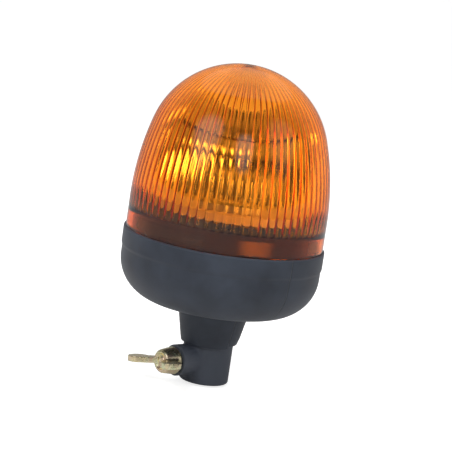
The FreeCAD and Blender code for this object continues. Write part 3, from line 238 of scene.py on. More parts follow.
class Effects:
    """Shader groups that several finishes share."""

    def __init__(self) -> None:
        """Build each group once."""
        self.grain = self.build_grain()
        self.dust = self.build_dust()
        self.scuffs = self.build_scuffs()
        self.lines = self.build_lines()

    @staticmethod
    def build_grain() -> bpy.types.NodeTree:
        """Fine surface texture of a mould: a height and slow patches of tone.

        Returns:
            The node group.
        """
        tree = EffectTree("Mould grain", {"Grain Size": 0.4 * MM, "Patch Size": 20 * MM}, "Height", "Patches")
        place = tree.object_place()
        fine_scale = tree.math("DIVIDE", 1.0, tree.given["Grain Size"])
        cell_scale = tree.math("DIVIDE", 0.7, tree.given["Grain Size"])
        slow_scale = tree.math("DIVIDE", 1.0, tree.given["Patch Size"])
        fine = tree.noise(place, fine_scale, detail=4.0, roughness=0.6)
        cells = tree.add("ShaderNodeTexVoronoi", Vector=place, Scale=cell_scale).outputs["Distance"]
        slow = tree.noise(place, slow_scale, detail=3.0, roughness=0.55)
        return tree.close(Height=tree.math("MULTIPLY_ADD", cells, 0.5, fine), Patches=slow)

    @staticmethod
    def build_dust() -> bpy.types.NodeTree:
        """Dust that settles in patches on faces that look up.

        Returns:
            The node group.
        """
        tree = EffectTree("Settled dust", {"Amount": 0.3}, "Mask")
        up = tree.along("Z", tree.add("ShaderNodeNewGeometry").outputs["Normal"])
        facing = tree.ramp(up, start=0.1, end=1.0)
        specks = tree.noise(tree.object_place(), scale=420.0, detail=5.0, roughness=0.7)
        patchy = tree.ramp(specks, start=0.42, end=0.72)
        both = tree.math("MULTIPLY", facing, patchy)
        return tree.close(Mask=tree.math("MULTIPLY", both, tree.given["Amount"]))

    @staticmethod
    def build_scuffs() -> bpy.types.NodeTree:
        """Rubbed edges and fine scratches.

        Returns:
            The node group.
        """
        tree = EffectTree("Scuffs", {"Edge Start": 0.53, "Scratch Scale": 90.0}, "Edge", "Scratch")
        place = tree.object_place()
        bend = tree.add("ShaderNodeNewGeometry").outputs["Pointiness"]
        broken = tree.math("MULTIPLY", tree.noise(place, scale=260.0, detail=4.0), 1.6)
        rubbed = tree.math("MULTIPLY", tree.ramp(bend, tree.given["Edge Start"], end=0.62), broken)
        stretched = tree.add("ShaderNodeMapping", Vector=place, Rotation=(0.3, 0.5, 0.9),
                             Scale=(1.0, 14.0, 1.0)).outputs[0]
        lines = tree.noise(stretched, tree.given["Scratch Scale"], detail=3.0)
        return tree.close(Edge=rubbed, Scratch=tree.ramp(lines, start=0.6, end=0.75))

    @staticmethod
    def build_lines() -> bpy.types.NodeTree:
        """Fine lines left by drawing or turning metal.

        Returns:
            The node group.
        """
        tree = EffectTree("Tool lines", {"Stretch": (1.0, 1.0, 20.0), "Scale": 300.0}, "Lines")
        stretched = tree.vector("MULTIPLY", tree.object_place(), tree.given["Stretch"])
        return tree.close(Lines=tree.noise(stretched, tree.given["Scale"], detail=3.0))


EFFECTS = Effects()


class Surface:
    """A material in the making: its Principled shader, over the grain that every finish has."""

    def __init__(self, name: str, grain_size: float, patch_size: float) -> None:
        """Start the material.

        Args:
            name: the material's name.
            grain_size: size of the fine grain in metres.
            patch_size: size of the slow patches of tone in metres.
        """
        self.material = bpy.data.materials.new(name)
        self.material.use_nodes = True
        self.tree = Tree(self.material.node_tree)
        self.shader = self.material.node_tree.nodes["Principled BSDF"]
        self.end = self.material.node_tree.nodes["Material Output"]
        grain = self.tree.use(EFFECTS.grain, Grain_Size=grain_size, Patch_Size=patch_size)
        self.grain, self.patches = grain["Height"], grain["Patches"]

    def set(self, **inputs: object) -> None:
        """Feed the shader's inputs by name, with _ for a space."""
        for name, value in inputs.items():
            self.tree.feed(self.shader, name.replace("_", " "), value)

    def rough(self, mask: Output, span: Span) -> None:
        """Let the roughness run over a span as a mask goes from 0 to 1."""
        self.set(Roughness=self.tree.ramp(mask, 0.0, 1.0, *span))

    def relief(self, height: Output, size: Relief) -> None:
        """Raise the surface, on top of the relief that it already has.

        Args:
            height: the relief's height from 0 to 1.
            size: how much of it shows, and its full height in metres.
        """
        strength, depth = size
        bump = self.tree.add("ShaderNodeBump", Strength=strength, Distance=depth, Height=height)
        for link in self.shader.inputs["Normal"].links:
            self.tree.feed(bump, "Normal", link.from_socket)
        self.set(Normal=bump.outputs[0])

    def pass_shadows(self, tint: Colour) -> None:
        """Let shadow rays through, so that the lamps light what is behind.

        Args:
            tint: colour of the light that passes.
        """
        shadow = self.tree.add("ShaderNodeLightPath").outputs["Is Shadow Ray"]
        passing = self.tree.add("ShaderNodeBsdfTransparent", Color=(*tint, 1.0)).outputs[0]
        mixed = self.tree.add("ShaderNodeMixShader")
        for index, value in enumerate((shadow, self.shader.outputs[0], passing)):
            self.tree.feed(mixed, index, value)
        self.tree.feed(self.end, "Surface", mixed.outputs[0])


# ---------------------------------------------------------------- finishes


@dataclass(frozen=True)
class MouldedRubber:
    """Matt black rubber with a parting line where the mould halves meet, painted near black as the shadow
    line of the step between the halves.
    """

    name: str = "moulded rubber"
    dark: Colour = (0.023, 0.028, 0.041)
    light: Colour = (0.045, 0.055, 0.076)
    dust: Colour = (0.085, 0.095, 0.110)
    # Painted shadow: a near black colour laid on the parting line for the shadow of the step between the
    # mould halves.
    painted_seam_shadow: Colour = (0.006, 0.007, 0.009)
    dust_amount: float = 0.35
    grain_size: float = 0.7 * MM
    patch_size: float = 28 * MM
    patch_span: Span = (0.3, 0.7)
    roughness: Span = (0.42, 0.62)
    specular: float = 0.42
    sheen: float = 0.12
    sheen_roughness: float = 0.45
    grain_relief: Relief = (0.35, 0.08 * MM)
    seam_width: float = 0.35 * MM
    seam_relief: Relief = (1.0, 0.4 * MM)

    def material(self) -> bpy.types.Material:
        """Build the rubber's material.

        Returns:
            The material.
        """
        surface = Surface(self.name, self.grain_size, self.patch_size)
        tree = surface.tree
        tone = tree.blend(tree.ramp(surface.patches, *self.patch_span), self.dark, self.light)
        across = tree.math("ABSOLUTE", tree.along("X", tree.object_place()))
        # Painted shadow: the parting line takes the near black colour for the step's shadow line; the same
        # mask also raises the seam's relief.
        seam = tree.ramp(across, 0.0, self.seam_width)
        tone = tree.blend(seam, self.painted_seam_shadow, tone)
        dusty = tree.use(EFFECTS.dust, Amount=self.dust_amount)["Mask"]
        surface.set(Base_Color=tree.blend(dusty, tone, self.dust), Specular_IOR_Level=self.specular,
                    Sheen_Weight=self.sheen, Sheen_Roughness=self.sheen_roughness)
        surface.rough(surface.patches, self.roughness)
        surface.relief(surface.grain, self.grain_relief)
        surface.relief(seam, self.seam_relief)
        return surface.material


@dataclass(frozen=True)
class MouldedPlastic:
    """Moulded plastic in one colour, with grain, slow tone and rubbed edges."""

    name: str
    colour: Colour
    rub: Colour
    roughness: float = 0.42
    grain_size: float = 0.5 * MM
    grain_height: float = 0.04 * MM
    gloss: float = 0.5
    patch_size: float = 18 * MM
    deepest: float = 0.78
    rub_share: float = 0.5
    rough_span: Span = (0.85, 1.2)
    grain_strength: float = 0.4

    def material(self) -> bpy.types.Material:
        """Build the plastic's material.

        Returns:
            The material.
        """
        surface = Surface(self.name, self.grain_size, self.patch_size)
        tree = surface.tree
        deep = tuple(value * self.deepest for value in self.colour)
        tone = tree.blend(surface.patches, deep, self.colour)
        rubbed = tree.math("MULTIPLY", tree.use(EFFECTS.scuffs)["Edge"], self.rub_share)
        surface.set(Base_Color=tree.blend(rubbed, tone, self.rub), Specular_IOR_Level=self.gloss)
        surface.rough(surface.patches, tuple(self.roughness * share for share in self.rough_span))
        surface.relief(surface.grain, (self.grain_strength, self.grain_height))
        return surface.material


@dataclass(frozen=True)
class WorkedMetal:
    """Metal with the lines of its making, a slow change of tone and fine scratches."""

    name: str
    colour: Colour
    shade: Colour
    roughness: float = 0.3
    stretch: tuple[float, float, float] = (1.0, 1.0, 18.0)
    line_scale: float = 260.0
    line_relief: Relief = (0.5, 0.02 * MM)
    grain_size: float = 0.6 * MM
    patch_size: float = 6 * MM
    scratch_share: float = 0.4
    rough_span: Span = (0.7, 1.35)

    def material(self) -> bpy.types.Material:
        """Build the metal's material.

        Returns:
            The material.
        """
        surface = Surface(self.name, self.grain_size, self.patch_size)
        tree = surface.tree
        lines = tree.use(EFFECTS.lines, Stretch=self.stretch, Scale=self.line_scale)["Lines"]
        tone = tree.blend(surface.patches, self.shade, self.colour)
        scratched = tree.math("MULTIPLY", tree.use(EFFECTS.scuffs)["Scratch"], self.scratch_share)
        surface.set(Base_Color=tree.blend(scratched, tone, self.shade), Metallic=1.0)
        surface.rough(lines, tuple(self.roughness * share for share in self.rough_span))
        surface.relief(lines, self.line_relief)
        return surface.material


@dataclass(frozen=True)
class YellowZinc:
    """Cast zinc under yellow chromate: gold that drifts to green and rose."""

    name: str = "yellow passivated zinc"
    gold: Colour = (0.98, 0.84, 0.50)
    green: Colour = (0.78, 0.80, 0.52)
    rose: Colour = (0.96, 0.72, 0.54)
    bare: Colour = (0.96, 0.92, 0.80)
    grain_size: float = 0.9 * MM
    green_patch: float = 9 * MM
    green_span: Span = (0.4, 0.62)
    rose_grain: float = 3 * MM
    rose_patch: float = 5 * MM
    rose_span: Span = (0.45, 0.68)
    scratch_scale: float = 60.0
    scratch_share: float = 0.5
    roughness: Span = (0.2, 0.36)
    grain_relief: Relief = (0.25, 0.06 * MM)

    def material(self) -> bpy.types.Material:
        """Build the plated casting's material.

        Returns:
            The material.
        """
        surface = Surface(self.name, self.grain_size, self.green_patch)
        tree = surface.tree
        drift = tree.use(EFFECTS.grain, Grain_Size=self.rose_grain, Patch_Size=self.rose_patch)["Patches"]
        tone = tree.blend(tree.ramp(surface.patches, *self.green_span), self.gold, self.green)
        tone = tree.blend(tree.ramp(drift, *self.rose_span), tone, self.rose)
        scratches = tree.use(EFFECTS.scuffs, Scratch_Scale=self.scratch_scale)["Scratch"]
        scratched = tree.math("MULTIPLY", scratches, self.scratch_share)
        surface.set(Base_Color=tree.blend(scratched, tone, self.bare), Metallic=1.0)
        surface.rough(drift, self.roughness)
        surface.relief(surface.grain, self.grain_relief)
        return surface.material


@dataclass(frozen=True)
class AmberLens:
    """Clear amber plastic, smooth outside, whose tint grows with the wall's depth; its band is painted
    darker, as shade of the dim inside seen through it.
    """

    name: str = "amber lens"
    light: Colour = (1.0, 0.84, 0.56)
    deep: Colour = (1.0, 0.78, 0.46)
    # Painted shade: the band's darker red-brown tint stands in for the dim inside seen through the band.
    band: Colour = (0.86, 0.44, 0.26)
    band_top: float = 121.5 * MM
    fade_below: float = 2.5 * MM
    fade_above: float = 3.0 * MM
    body: Colour = (0.982, 0.78, 0.27)
    density: float = 620.0
    grain_size: float = 4 * MM
    patch_size: float = 50 * MM
    roughness: Span = (0.015, 0.05)
    grain_relief: Relief = (0.12, 0.06 * MM)
    refraction: float = 1.5
    specular: float = 0.32

    def material(self) -> bpy.types.Material:
        """Build the lens's material.

        Returns:
            The material.
        """
        surface = Surface(self.name, self.grain_size, self.patch_size)
        tree = surface.tree
        height = tree.along("Z", tree.object_place())
        # Painted shade: below the band's top the lens takes the darker band tint, for the dim inside seen
        # through it.
        above = tree.ramp(height, self.band_top - self.fade_below, self.band_top + self.fade_above, soft=True)
        tone = tree.blend(surface.patches, self.deep, self.light)
        surface.set(Base_Color=tree.blend(above, self.band, tone), Transmission_Weight=1.0,
                    IOR=self.refraction, Specular_IOR_Level=self.specular)
        surface.rough(surface.patches, self.roughness)
        surface.relief(surface.grain, self.grain_relief)
        tinted = tree.add("ShaderNodeVolumeAbsorption", Color=(*self.body, 1.0), Density=self.density)
        tree.feed(surface.end, "Volume", tinted.outputs[0])
        surface.pass_shadows(self.light)
        return surface.material


@dataclass(frozen=True)
class ClearGlass:
    """Thin clear glass of the bulb, faintly smoked in patches."""

    name: str = "bulb glass"
    clear: Colour = (0.98, 0.98, 0.97)
    smoked: Colour = (0.80, 0.80, 0.80)
    shadow: Colour = (0.95, 0.95, 0.95)
    grain_size: float = 3 * MM
    patch_size: float = 10 * MM
    roughness: Span = (0.0, 0.04)
    refraction: float = 1.46

    def material(self) -> bpy.types.Material:
        """Build the glass's material.

        Returns:
            The material.
        """
        surface = Surface(self.name, self.grain_size, self.patch_size)
        surface.set(Base_Color=surface.tree.blend(surface.patches, self.smoked, self.clear),
                    Transmission_Weight=1.0, IOR=self.refraction)
        surface.rough(surface.patches, self.roughness)
        surface.pass_shadows(self.shadow)
        return surface.material


@dataclass(frozen=True)
class CoatedMirror:
    """Vacuum coated reflector: bright, with faint haze."""

    name: str = "coated mirror"
    bright: Colour = (0.94, 0.93, 0.91)
    haze: Colour = (0.80, 0.79, 0.77)
    grain_size: float = 2 * MM
    patch_size: float = 12 * MM
    roughness: Span = (0.12, 0.03)
    grain_relief: Relief = (0.1, 0.1 * MM)

    def material(self) -> bpy.types.Material:
        """Build the mirror's material.

        Returns:
            The material.
        """
        surface = Surface(self.name, self.grain_size, self.patch_size)
        surface.set(Base_Color=surface.tree.blend(surface.patches, self.haze, self.bright), Metallic=1.0)
        surface.rough(surface.patches, self.roughness)
        surface.relief(surface.grain, self.grain_relief)
        return surface.material


class Stock(Enum):
    """Materials of the parts that the beacon is put together from."""

    RUBBER = MouldedRubber()
    HOLDER = MouldedPlastic("socket tube plastic", (0.062, 0.072, 0.096), (0.12, 0.13, 0.15), 0.5,
                            grain_size=0.6 * MM, grain_height=0.05 * MM)
    CHASSIS = MouldedPlastic("chassis plastic", (0.024, 0.021, 0.021), (0.07, 0.07, 0.07), 0.5,
                             grain_height=0.008 * MM, gloss=0.2)
    INSULATOR = MouldedPlastic("insulator", (0.09, 0.085, 0.08), (0.2, 0.19, 0.18), 0.5)
    NYLON = MouldedPlastic("gear nylon", (0.80, 0.77, 0.68), (0.9, 0.88, 0.82), 0.36)
    TURNTABLE = MouldedPlastic("turntable plastic", (0.78, 0.75, 0.68), (0.9, 0.88, 0.82), 0.32)
    BULB_HOLDER = MouldedPlastic("bulb holder moulding", (0.66, 0.62, 0.55), (0.8, 0.77, 0.7), 0.55)
    RED_LEAD = MouldedPlastic("red insulation", (0.45, 0.02, 0.015), (0.6, 0.1, 0.08), 0.4)
    BLACK_LEAD = MouldedPlastic("black insulation", (0.015, 0.015, 0.015), (0.08, 0.08, 0.08), 0.4)
    YELLOW_ZINC = YellowZinc()
    ZINC = WorkedMetal("zinc plated steel", (0.68, 0.69, 0.70), (0.50, 0.51, 0.54), 0.3)
    DRAWN_STEEL = WorkedMetal("drawn steel", (0.62, 0.63, 0.66), (0.44, 0.45, 0.48), 0.26)
    SPRING_STEEL = WorkedMetal("spring steel", (0.66, 0.66, 0.66), (0.42, 0.42, 0.43), 0.22, (8.0, 8.0, 8.0))
    BRASS = WorkedMetal("turned brass", (0.80, 0.60, 0.28), (0.58, 0.42, 0.18), 0.24)
    BRONZE = WorkedMetal("sintered bronze", (0.55, 0.37, 0.20), (0.36, 0.23, 0.12), 0.5, (6.0, 6.0, 6.0))
    ALUMINIUM = WorkedMetal("rivet aluminium", (0.80, 0.80, 0.81), (0.62, 0.62, 0.64), 0.32, (5.0, 5.0, 5.0))
    BULB_CAP = WorkedMetal("nickel plated cap", (0.74, 0.73, 0.70), (0.56, 0.55, 0.53), 0.2)
    TUNGSTEN = WorkedMetal("tungsten wire", (0.42, 0.41, 0.40), (0.25, 0.25, 0.25), 0.4, (3.0, 3.0, 3.0))
    MIRROR = CoatedMirror()
    GLASS = ClearGlass()
    AMBER = AmberLens()


@cache
def material_of(stock: Stock) -> bpy.types.Material:
    """Give the material of a stock, built the first time."""
    return stock.value.material()


def dress(stock: Stock, *names: str) -> None:
    """Give CAD nodes the material of a stock.

    Args:
        stock: the kind of stock.
        names: the nodes.
    """
    for name in names:
        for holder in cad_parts[name].material_slots:
            holder.material = material_of(stock)


# ---------------------------------------------------------------- mesh helpers


def arc(centre: Point, radius: float, first: float, last: float, steps: int) -> list[Point]:
    """Points along an arc.

    Args:
        centre: the arc's centre.
        radius: its radius.
        first: the first angle in degrees.
        last: the last angle in degrees.
        steps: how many segments.

    Returns:
        The points, both ends included.
    """
    turns = [math.radians(first + (last - first) * index / steps) for index in range(steps + 1)]
    return [(centre[0] + radius * math.cos(turn), centre[1] + radius * math.sin(turn)) for turn in turns]


def even_angles(count: int) -> list[float]:
    """Give evenly spaced polar angles in radians."""
    return [2 * math.pi * index / count for index in range(count)]


def skin(shape: bmesh.types.BMesh, low: list, high: list) -> None:
    """Join two closed rings of points with faces.

    Args:
        shape: the mesh that gets the faces.
        low: the first ring.
        high: the second ring; a pole is the same point over and over.
    """
    for index, corner in enumerate(low):
        following = (index + 1) % len(low)
        corners = (corner, low[following], high[following], high[index])
        shape.faces.new(list(dict.fromkeys(corners)))


def put(name: str, data: bpy.types.ID) -> bpy.types.Object:
    """Place an object with its mesh, lamp or camera in the scene.

    Args:
        name: the object's name.
        data: what it holds.

    Returns:
        The new object.
    """
    thing = bpy.data.objects.new(name, data)
    bpy.context.scene.collection.objects.link(thing)
    return thing


def ring_mesh(name: str, rows: Sequence, angles: Sequence[float], spot: Callable[[object, float], Point],
              poles: bool = False) -> bpy.types.Object:
    """Closed solid of revolution whose profile may change with the angle.

    Args:
        name: the object's name.
        rows: the profile's points, in the form that spot reads.
        angles: the columns' polar angles in radians, rising.
        spot: gives radius and height for a row and an angle.
        poles: the first and last rows fall on the axis; otherwise the profile is a loop.

    Returns:
        The new object, with faces that point out.
    """
    shape = bmesh.new()
    grid = []
    for index, row in enumerate(rows):
        if poles and index in (0, len(rows) - 1):
            grid.append([shape.verts.new((0.0, 0.0, spot(row, 0.0)[1]))] * len(angles))
            continue
        ring = []
        for angle in angles:
            radius, height = spot(row, angle)
            ring.append(shape.verts.new((radius * math.cos(angle), radius * math.sin(angle), height)))
        grid.append(ring)
    for low, high in zip(grid, grid[1:] if poles else grid[1:] + grid[:1]):
        skin(shape, low, high)
    return finish_mesh(name, shape)


def finish_mesh(name: str, shape: bmesh.types.BMesh, sharp: float = 40.0) -> bpy.types.Object:
    """Turn a closed bmesh into an object, smooth except at sharp edges.

    Args:
        name: the object's name.
        shape: the closed mesh; it is freed.
        sharp: edges over this angle in degrees stay sharp.

    Returns:
        The new object.
    """
    if shape.calc_volume(signed=True) < 0:
        bmesh.ops.reverse_faces(shape, faces=shape.faces[:])
    for face in shape.faces:
        face.smooth = True
    for edge in shape.edges:
        edge.smooth = len(edge.link_faces) == 2 and edge.calc_face_angle(0.0) < math.radians(sharp)
    mesh = bpy.data.meshes.new(name)
    shape.to_mesh(mesh)
    shape.free()
    return put(name, mesh)


def settle(piece: bpy.types.Object) -> bpy.types.Object:
    """Turn a piece's modifiers into plain mesh.

    Args:
        piece: the object whose modifiers are applied.

    Returns:
        The same object.
    """
    seen = piece.evaluated_get(bpy.context.evaluated_depsgraph_get())
    mesh = bpy.data.meshes.new_from_object(seen)
    piece.modifiers.clear()
    piece.data = mesh
    mesh.name = piece.name
    return piece


def paint(piece: bpy.types.Object, stock: Stock) -> None:
    """Give a piece the material of a stock, and no other."""
    piece.data.materials.clear()
    piece.data.materials.append(material_of(stock))


def hand_over(piece: bpy.types.Object, body: str, slot: str, stock: Stock, *nodes: str) -> None:
    """Give a piece its material and its body, and hide the CAD nodes that it stands for.

    Args:
        piece: the finished piece.
        body: the body that it rides on.
        slot: the record's material slot; not used.
        stock: its material.
        nodes: CAD nodes that it replaces.
    """
    paint(piece, stock)
    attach(piece, body)
    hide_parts(*nodes)
    LOG.info("%s rides on %s", piece.name, body)


class GeometryRecipe:
    """Geometry Nodes tree with named inputs that ends in Realize Instances and Set Material."""

    def __init__(self, name: str, numbers: dict[str, float]) -> None:
        """Start the tree.

        Args:
            name: the tree's name.
            numbers: each size's name and value.
        """
        self.group = bpy.data.node_groups.new(name, "GeometryNodeTree")
        self.numbers = numbers
        self.keys = {}
        self.offer("Geometry", "INPUT", "NodeSocketGeometry")
        for label in numbers:
            self.keys[label] = self.offer(label, "INPUT", "NodeSocketFloat")
        self.keys["Finish"] = self.offer("Finish", "INPUT", "NodeSocketMaterial")
        self.offer("Geometry", "OUTPUT", "NodeSocketGeometry")
        self.tree = Tree(self.group)
        self.given = self.tree.add("NodeGroupInput").outputs

    def offer(self, label: str, way: str, kind: str) -> str:
        """Add a named socket to the tree's outside and give its identifier."""
        return self.group.interface.new_socket(name=label, in_out=way, socket_type=kind).identifier

    def close(self, geometry: Output) -> None:
        """End the tree.

        Args:
            geometry: the geometry that comes out.
        """
        real = self.tree.add("GeometryNodeRealizeInstances", Geometry=geometry)
        painted = self.tree.add("GeometryNodeSetMaterial", Geometry=real.outputs[0],
                                Material=self.given["Finish"])
        self.tree.add("NodeGroupOutput", Geometry=painted.outputs[0])

    def run(self, piece: bpy.types.Object, stock: Stock) -> bpy.types.Object:
        """Apply the tree to a piece and leave plain mesh.

        Args:
            piece: the object that the tree works on.
            stock: the material that it sets.

        Returns:
            The same object.
        """
        modifier = piece.modifiers.new(self.group.name, "NODES")
        modifier.node_group = self.group
        for label, value in self.numbers.items():
            modifier[self.keys[label]] = value
        modifier[self.keys["Finish"]] = material_of(stock)
        return settle(piece)


# ---------------------------------------------------------------- sub-assemblies


@dataclass(frozen=True)
class LensRow:
    """Ring of points of the lens, in millimetres."""

    radius: float
    height: float
    fluted: float = 0.0
    pocketed: bool = False


@dataclass
class Lens:
    """Domed amber lens: skirt, smooth band with bayonet pockets, inside flutes and crown."""

    skirt_r: float = 69.6
    skirt_in_r: float = 67.2
    skirt_z: float = 96.03
    shoulder_z: float = 106.83
    band_r: float = 71.05
    flute_z: float = 121.53
    side_z: float = 126.03
    side_curve: float = 200.0
    crown_r: float = 65.0
    valley_wall: float = 2.2
    flute_depth: float = 1.2
    flute_roundness: float = 0.85
    crown_wall: float = 2.6
    flute_start_r: float = 5.0
    flute_fade: float = 12.0
    scoop: float = 0.009
    flutes: int = 72
    columns_per_flute: int = 10
    pocket_r: float = 68.6
    pocket_z: Span = (109.53, 117.53)
    pocket_turn: Span = (165.0, 216.4)
    gate_turn: Span = (174.7, 187.7)
    lugs: int = 3
    corner: float = 0.4
    foot_corner: float = 0.3
    foot_rise: float = 0.1
    band_smooth: float = 5.0
    band_gap: float = 0.6
    wall_step: float = 0.02
    wall_clear: float = 0.1
    crown_rows: int = 56
    flute_rows: int = 40
    foot_shares: tuple[float, ...] = (0.0, 0.0012, 0.0024, 0.004, 0.006, 0.009, 0.013, 0.02, 0.032, 0.056)

    def outside(self, share: float) -> tuple[float, float, float]:
        """Profile of the outer face from the flutes' foot to the apex.

        Args:
            share: 0 at the foot and 1 at the apex.

        Returns:
            Radius, height and the lean of the outward normal in radians.
        """
        turn = math.acos((self.side_curve - self.band_r) / (self.side_curve - self.crown_r))
        low = math.asin((self.flute_z - self.side_z) / self.side_curve)
        side = self.side_curve * (turn - low)
        crown = self.crown_r * (math.pi / 2 - turn)
        run = share * (side + crown)
        if run < side:
            lean = low + run / self.side_curve
            return (self.band_r - self.side_curve + self.side_curve * math.cos(lean),
                    self.side_z + self.side_curve * math.sin(lean), lean)
        crown_z = self.side_z + (self.side_curve - self.crown_r) * math.sin(turn)
        lean = turn + (run - side) / self.crown_r
        return self.crown_r * math.cos(lean), crown_z + self.crown_r * math.sin(lean), lean

    def columns(self) -> list[float]:
        """Angles of the mesh columns, with a close pair at each side of a pocket or gate.

        Returns:
            The angles in radians.
        """
        count = self.flutes * self.columns_per_flute
        turns = [360.0 * index / count for index in range(count)]
        for copy in range(self.lugs):
            for side in (*self.pocket_turn, *self.gate_turn):
                edge = (side + 360.0 / self.lugs * copy) % 360.0
                turns = [turn for turn in turns if abs(turn - edge) > self.wall_clear]
                turns += [edge - self.wall_step, edge + self.wall_step]
        return [math.radians(turn) for turn in sorted(turns)]

    def hollowed(self, angle: float, height: float) -> float:
        """Inner radius of the skirt and band, deeper in a pocket or gate.

        Args:
            angle: polar angle in radians.
            height: height in millimetres.

        Returns:
            The radius in millimetres.
        """
        if height >= self.pocket_z[1]:
            return self.skirt_in_r
        for copy in range(self.lugs):
            local = (math.degrees(angle) - 360.0 / self.lugs * copy) % 360.0
            in_pocket = self.pocket_turn[0] < local < self.pocket_turn[1] and self.pocket_z[0] < height
            if in_pocket or self.gate_turn[0] < local < self.gate_turn[1]:
                return self.pocket_r
        return self.skirt_in_r

    def swell(self, share: float, radius: float) -> float:
        """Strength of the flutes: a round scoop at the foot, and a slow end near the apex.

        Args:
            share: 0 at the foot and 1 at the apex.
            radius: radius of the outer face in millimetres.

        Returns:
            The strength from 0 to 1.
        """
        foot = min(1.0, share / self.scoop)
        fade = min(1.0, max(0.0, (radius - self.flute_start_r) / self.flute_fade))
        return math.sqrt(1.0 - (1.0 - foot) ** 2) * fade

    def outer_rows(self) -> list[LensRow]:
        """Rows from the apex down the outer face and round the skirt's foot.

        Returns:
            The rows.
        """
        crown = [self.outside(1.0 - index / self.crown_rows) for index in range(self.crown_rows + 1)]
        foot = [(self.band_r, self.flute_z - self.band_smooth),
                (self.band_r, self.shoulder_z + self.corner),
                (self.band_r - self.corner, self.shoulder_z),
                (self.skirt_r, self.shoulder_z),
                (self.skirt_r, self.skirt_z + self.corner),
                (self.skirt_r - self.corner, self.skirt_z),
                (self.skirt_in_r + self.foot_corner, self.skirt_z)]
        return [LensRow(radius, height) for radius, height, *_ in crown + foot]

    def inner_rows(self) -> list[LensRow]:
        """Rows from the skirt's foot up the inside of the band and the fluted wall to the apex.

        Returns:
            The rows.
        """
        low, high = self.pocket_z
        band = (self.skirt_z + self.foot_rise, low - self.wall_step, low + self.wall_step,
                high - self.wall_step, high + self.wall_step, self.flute_z - self.band_gap)
        rows = [LensRow(self.skirt_in_r, height, pocketed=True) for height in band]
        start = self.foot_shares[-1]
        rise = [start + (1.0 - start) * index / self.flute_rows for index in range(1, self.flute_rows + 1)]
        ridge = self.valley_wall + self.flute_depth
        for share in (*self.foot_shares, *rise):
            radius, height, lean = self.outside(share)
            wall = ridge + (self.crown_wall - ridge) * share ** 2
            rows.append(LensRow(radius - wall * math.cos(lean), height - wall * math.sin(lean),
                                self.swell(share, radius)))
        return rows

    def spot(self, row: LensRow, angle: float) -> Point:
        """Radius and height of a row at an angle, in metres."""
        radius = self.hollowed(angle, row.height) if row.pocketed else row.radius
        return radius * MM, row.height * MM

    def smooth_shell(self) -> bpy.types.Object:
        """Closed shell of the lens before its flutes are pressed in.

        Returns:
            The shell, with the flutes' strength stored on its points.
        """
        rows = self.outer_rows() + self.inner_rows()
        angles = self.columns()
        shell = ring_mesh("lens_shell", rows, angles, self.spot, poles=True)
        strength = shell.data.attributes.new("flute strength", "FLOAT", "POINT")
        values = [row.fluted for row in rows[1:-1] for _ in angles]
        strength.data.foreach_set("value", [0.0, *values, 0.0])
        return shell

    def flute_recipe(self) -> GeometryRecipe:
        """Rule that presses the flutes into the inside of the wall.

        Returns:
            The Geometry Nodes recipe.
        """
        sizes = {"Flutes": float(self.flutes), "Depth": self.flute_depth * MM,
                 "Roundness": self.flute_roundness}
        recipe = GeometryRecipe("Lens flutes", sizes)
        tree, given = recipe.tree, recipe.given
        place = tree.add("GeometryNodeInputPosition").outputs[0]
        turn = tree.math("ARCTAN2", tree.along("Y", place), tree.along("X", place))
        half = tree.math("MULTIPLY", tree.math("MULTIPLY", turn, given["Flutes"]), 0.5)
        ridge = tree.math("POWER", tree.math("ABSOLUTE", tree.math("SINE", half)), given["Roundness"])
        deep = tree.math("MULTIPLY", tree.math("SUBTRACT", 1.0, ridge), given["Depth"])
        strength = tree.add("GeometryNodeInputNamedAttribute", {"data_type": "FLOAT"}, Name="flute strength")
        inward = tree.math("MULTIPLY", tree.math("MULTIPLY", deep, strength.outputs["Attribute"]), -1.0)
        push = tree.add("ShaderNodeVectorMath", {"operation": "SCALE"}, Scale=inward,
                        Vector=tree.add("GeometryNodeInputNormal").outputs[0])
        moved = tree.add("GeometryNodeSetPosition", Geometry=given["Geometry"], Offset=push.outputs[0])
        recipe.close(moved.outputs[0])
        return recipe

    def build(self) -> None:
        """Build the lens and hand it over."""
        lens = self.flute_recipe().run(self.smooth_shell(), Stock.AMBER)
        lens.name = "lens_dome"
        lens.data.attributes.remove(lens.data.attributes["flute strength"])
        hand_over(lens, "cover", "amber_lens", Stock.AMBER, "lens")


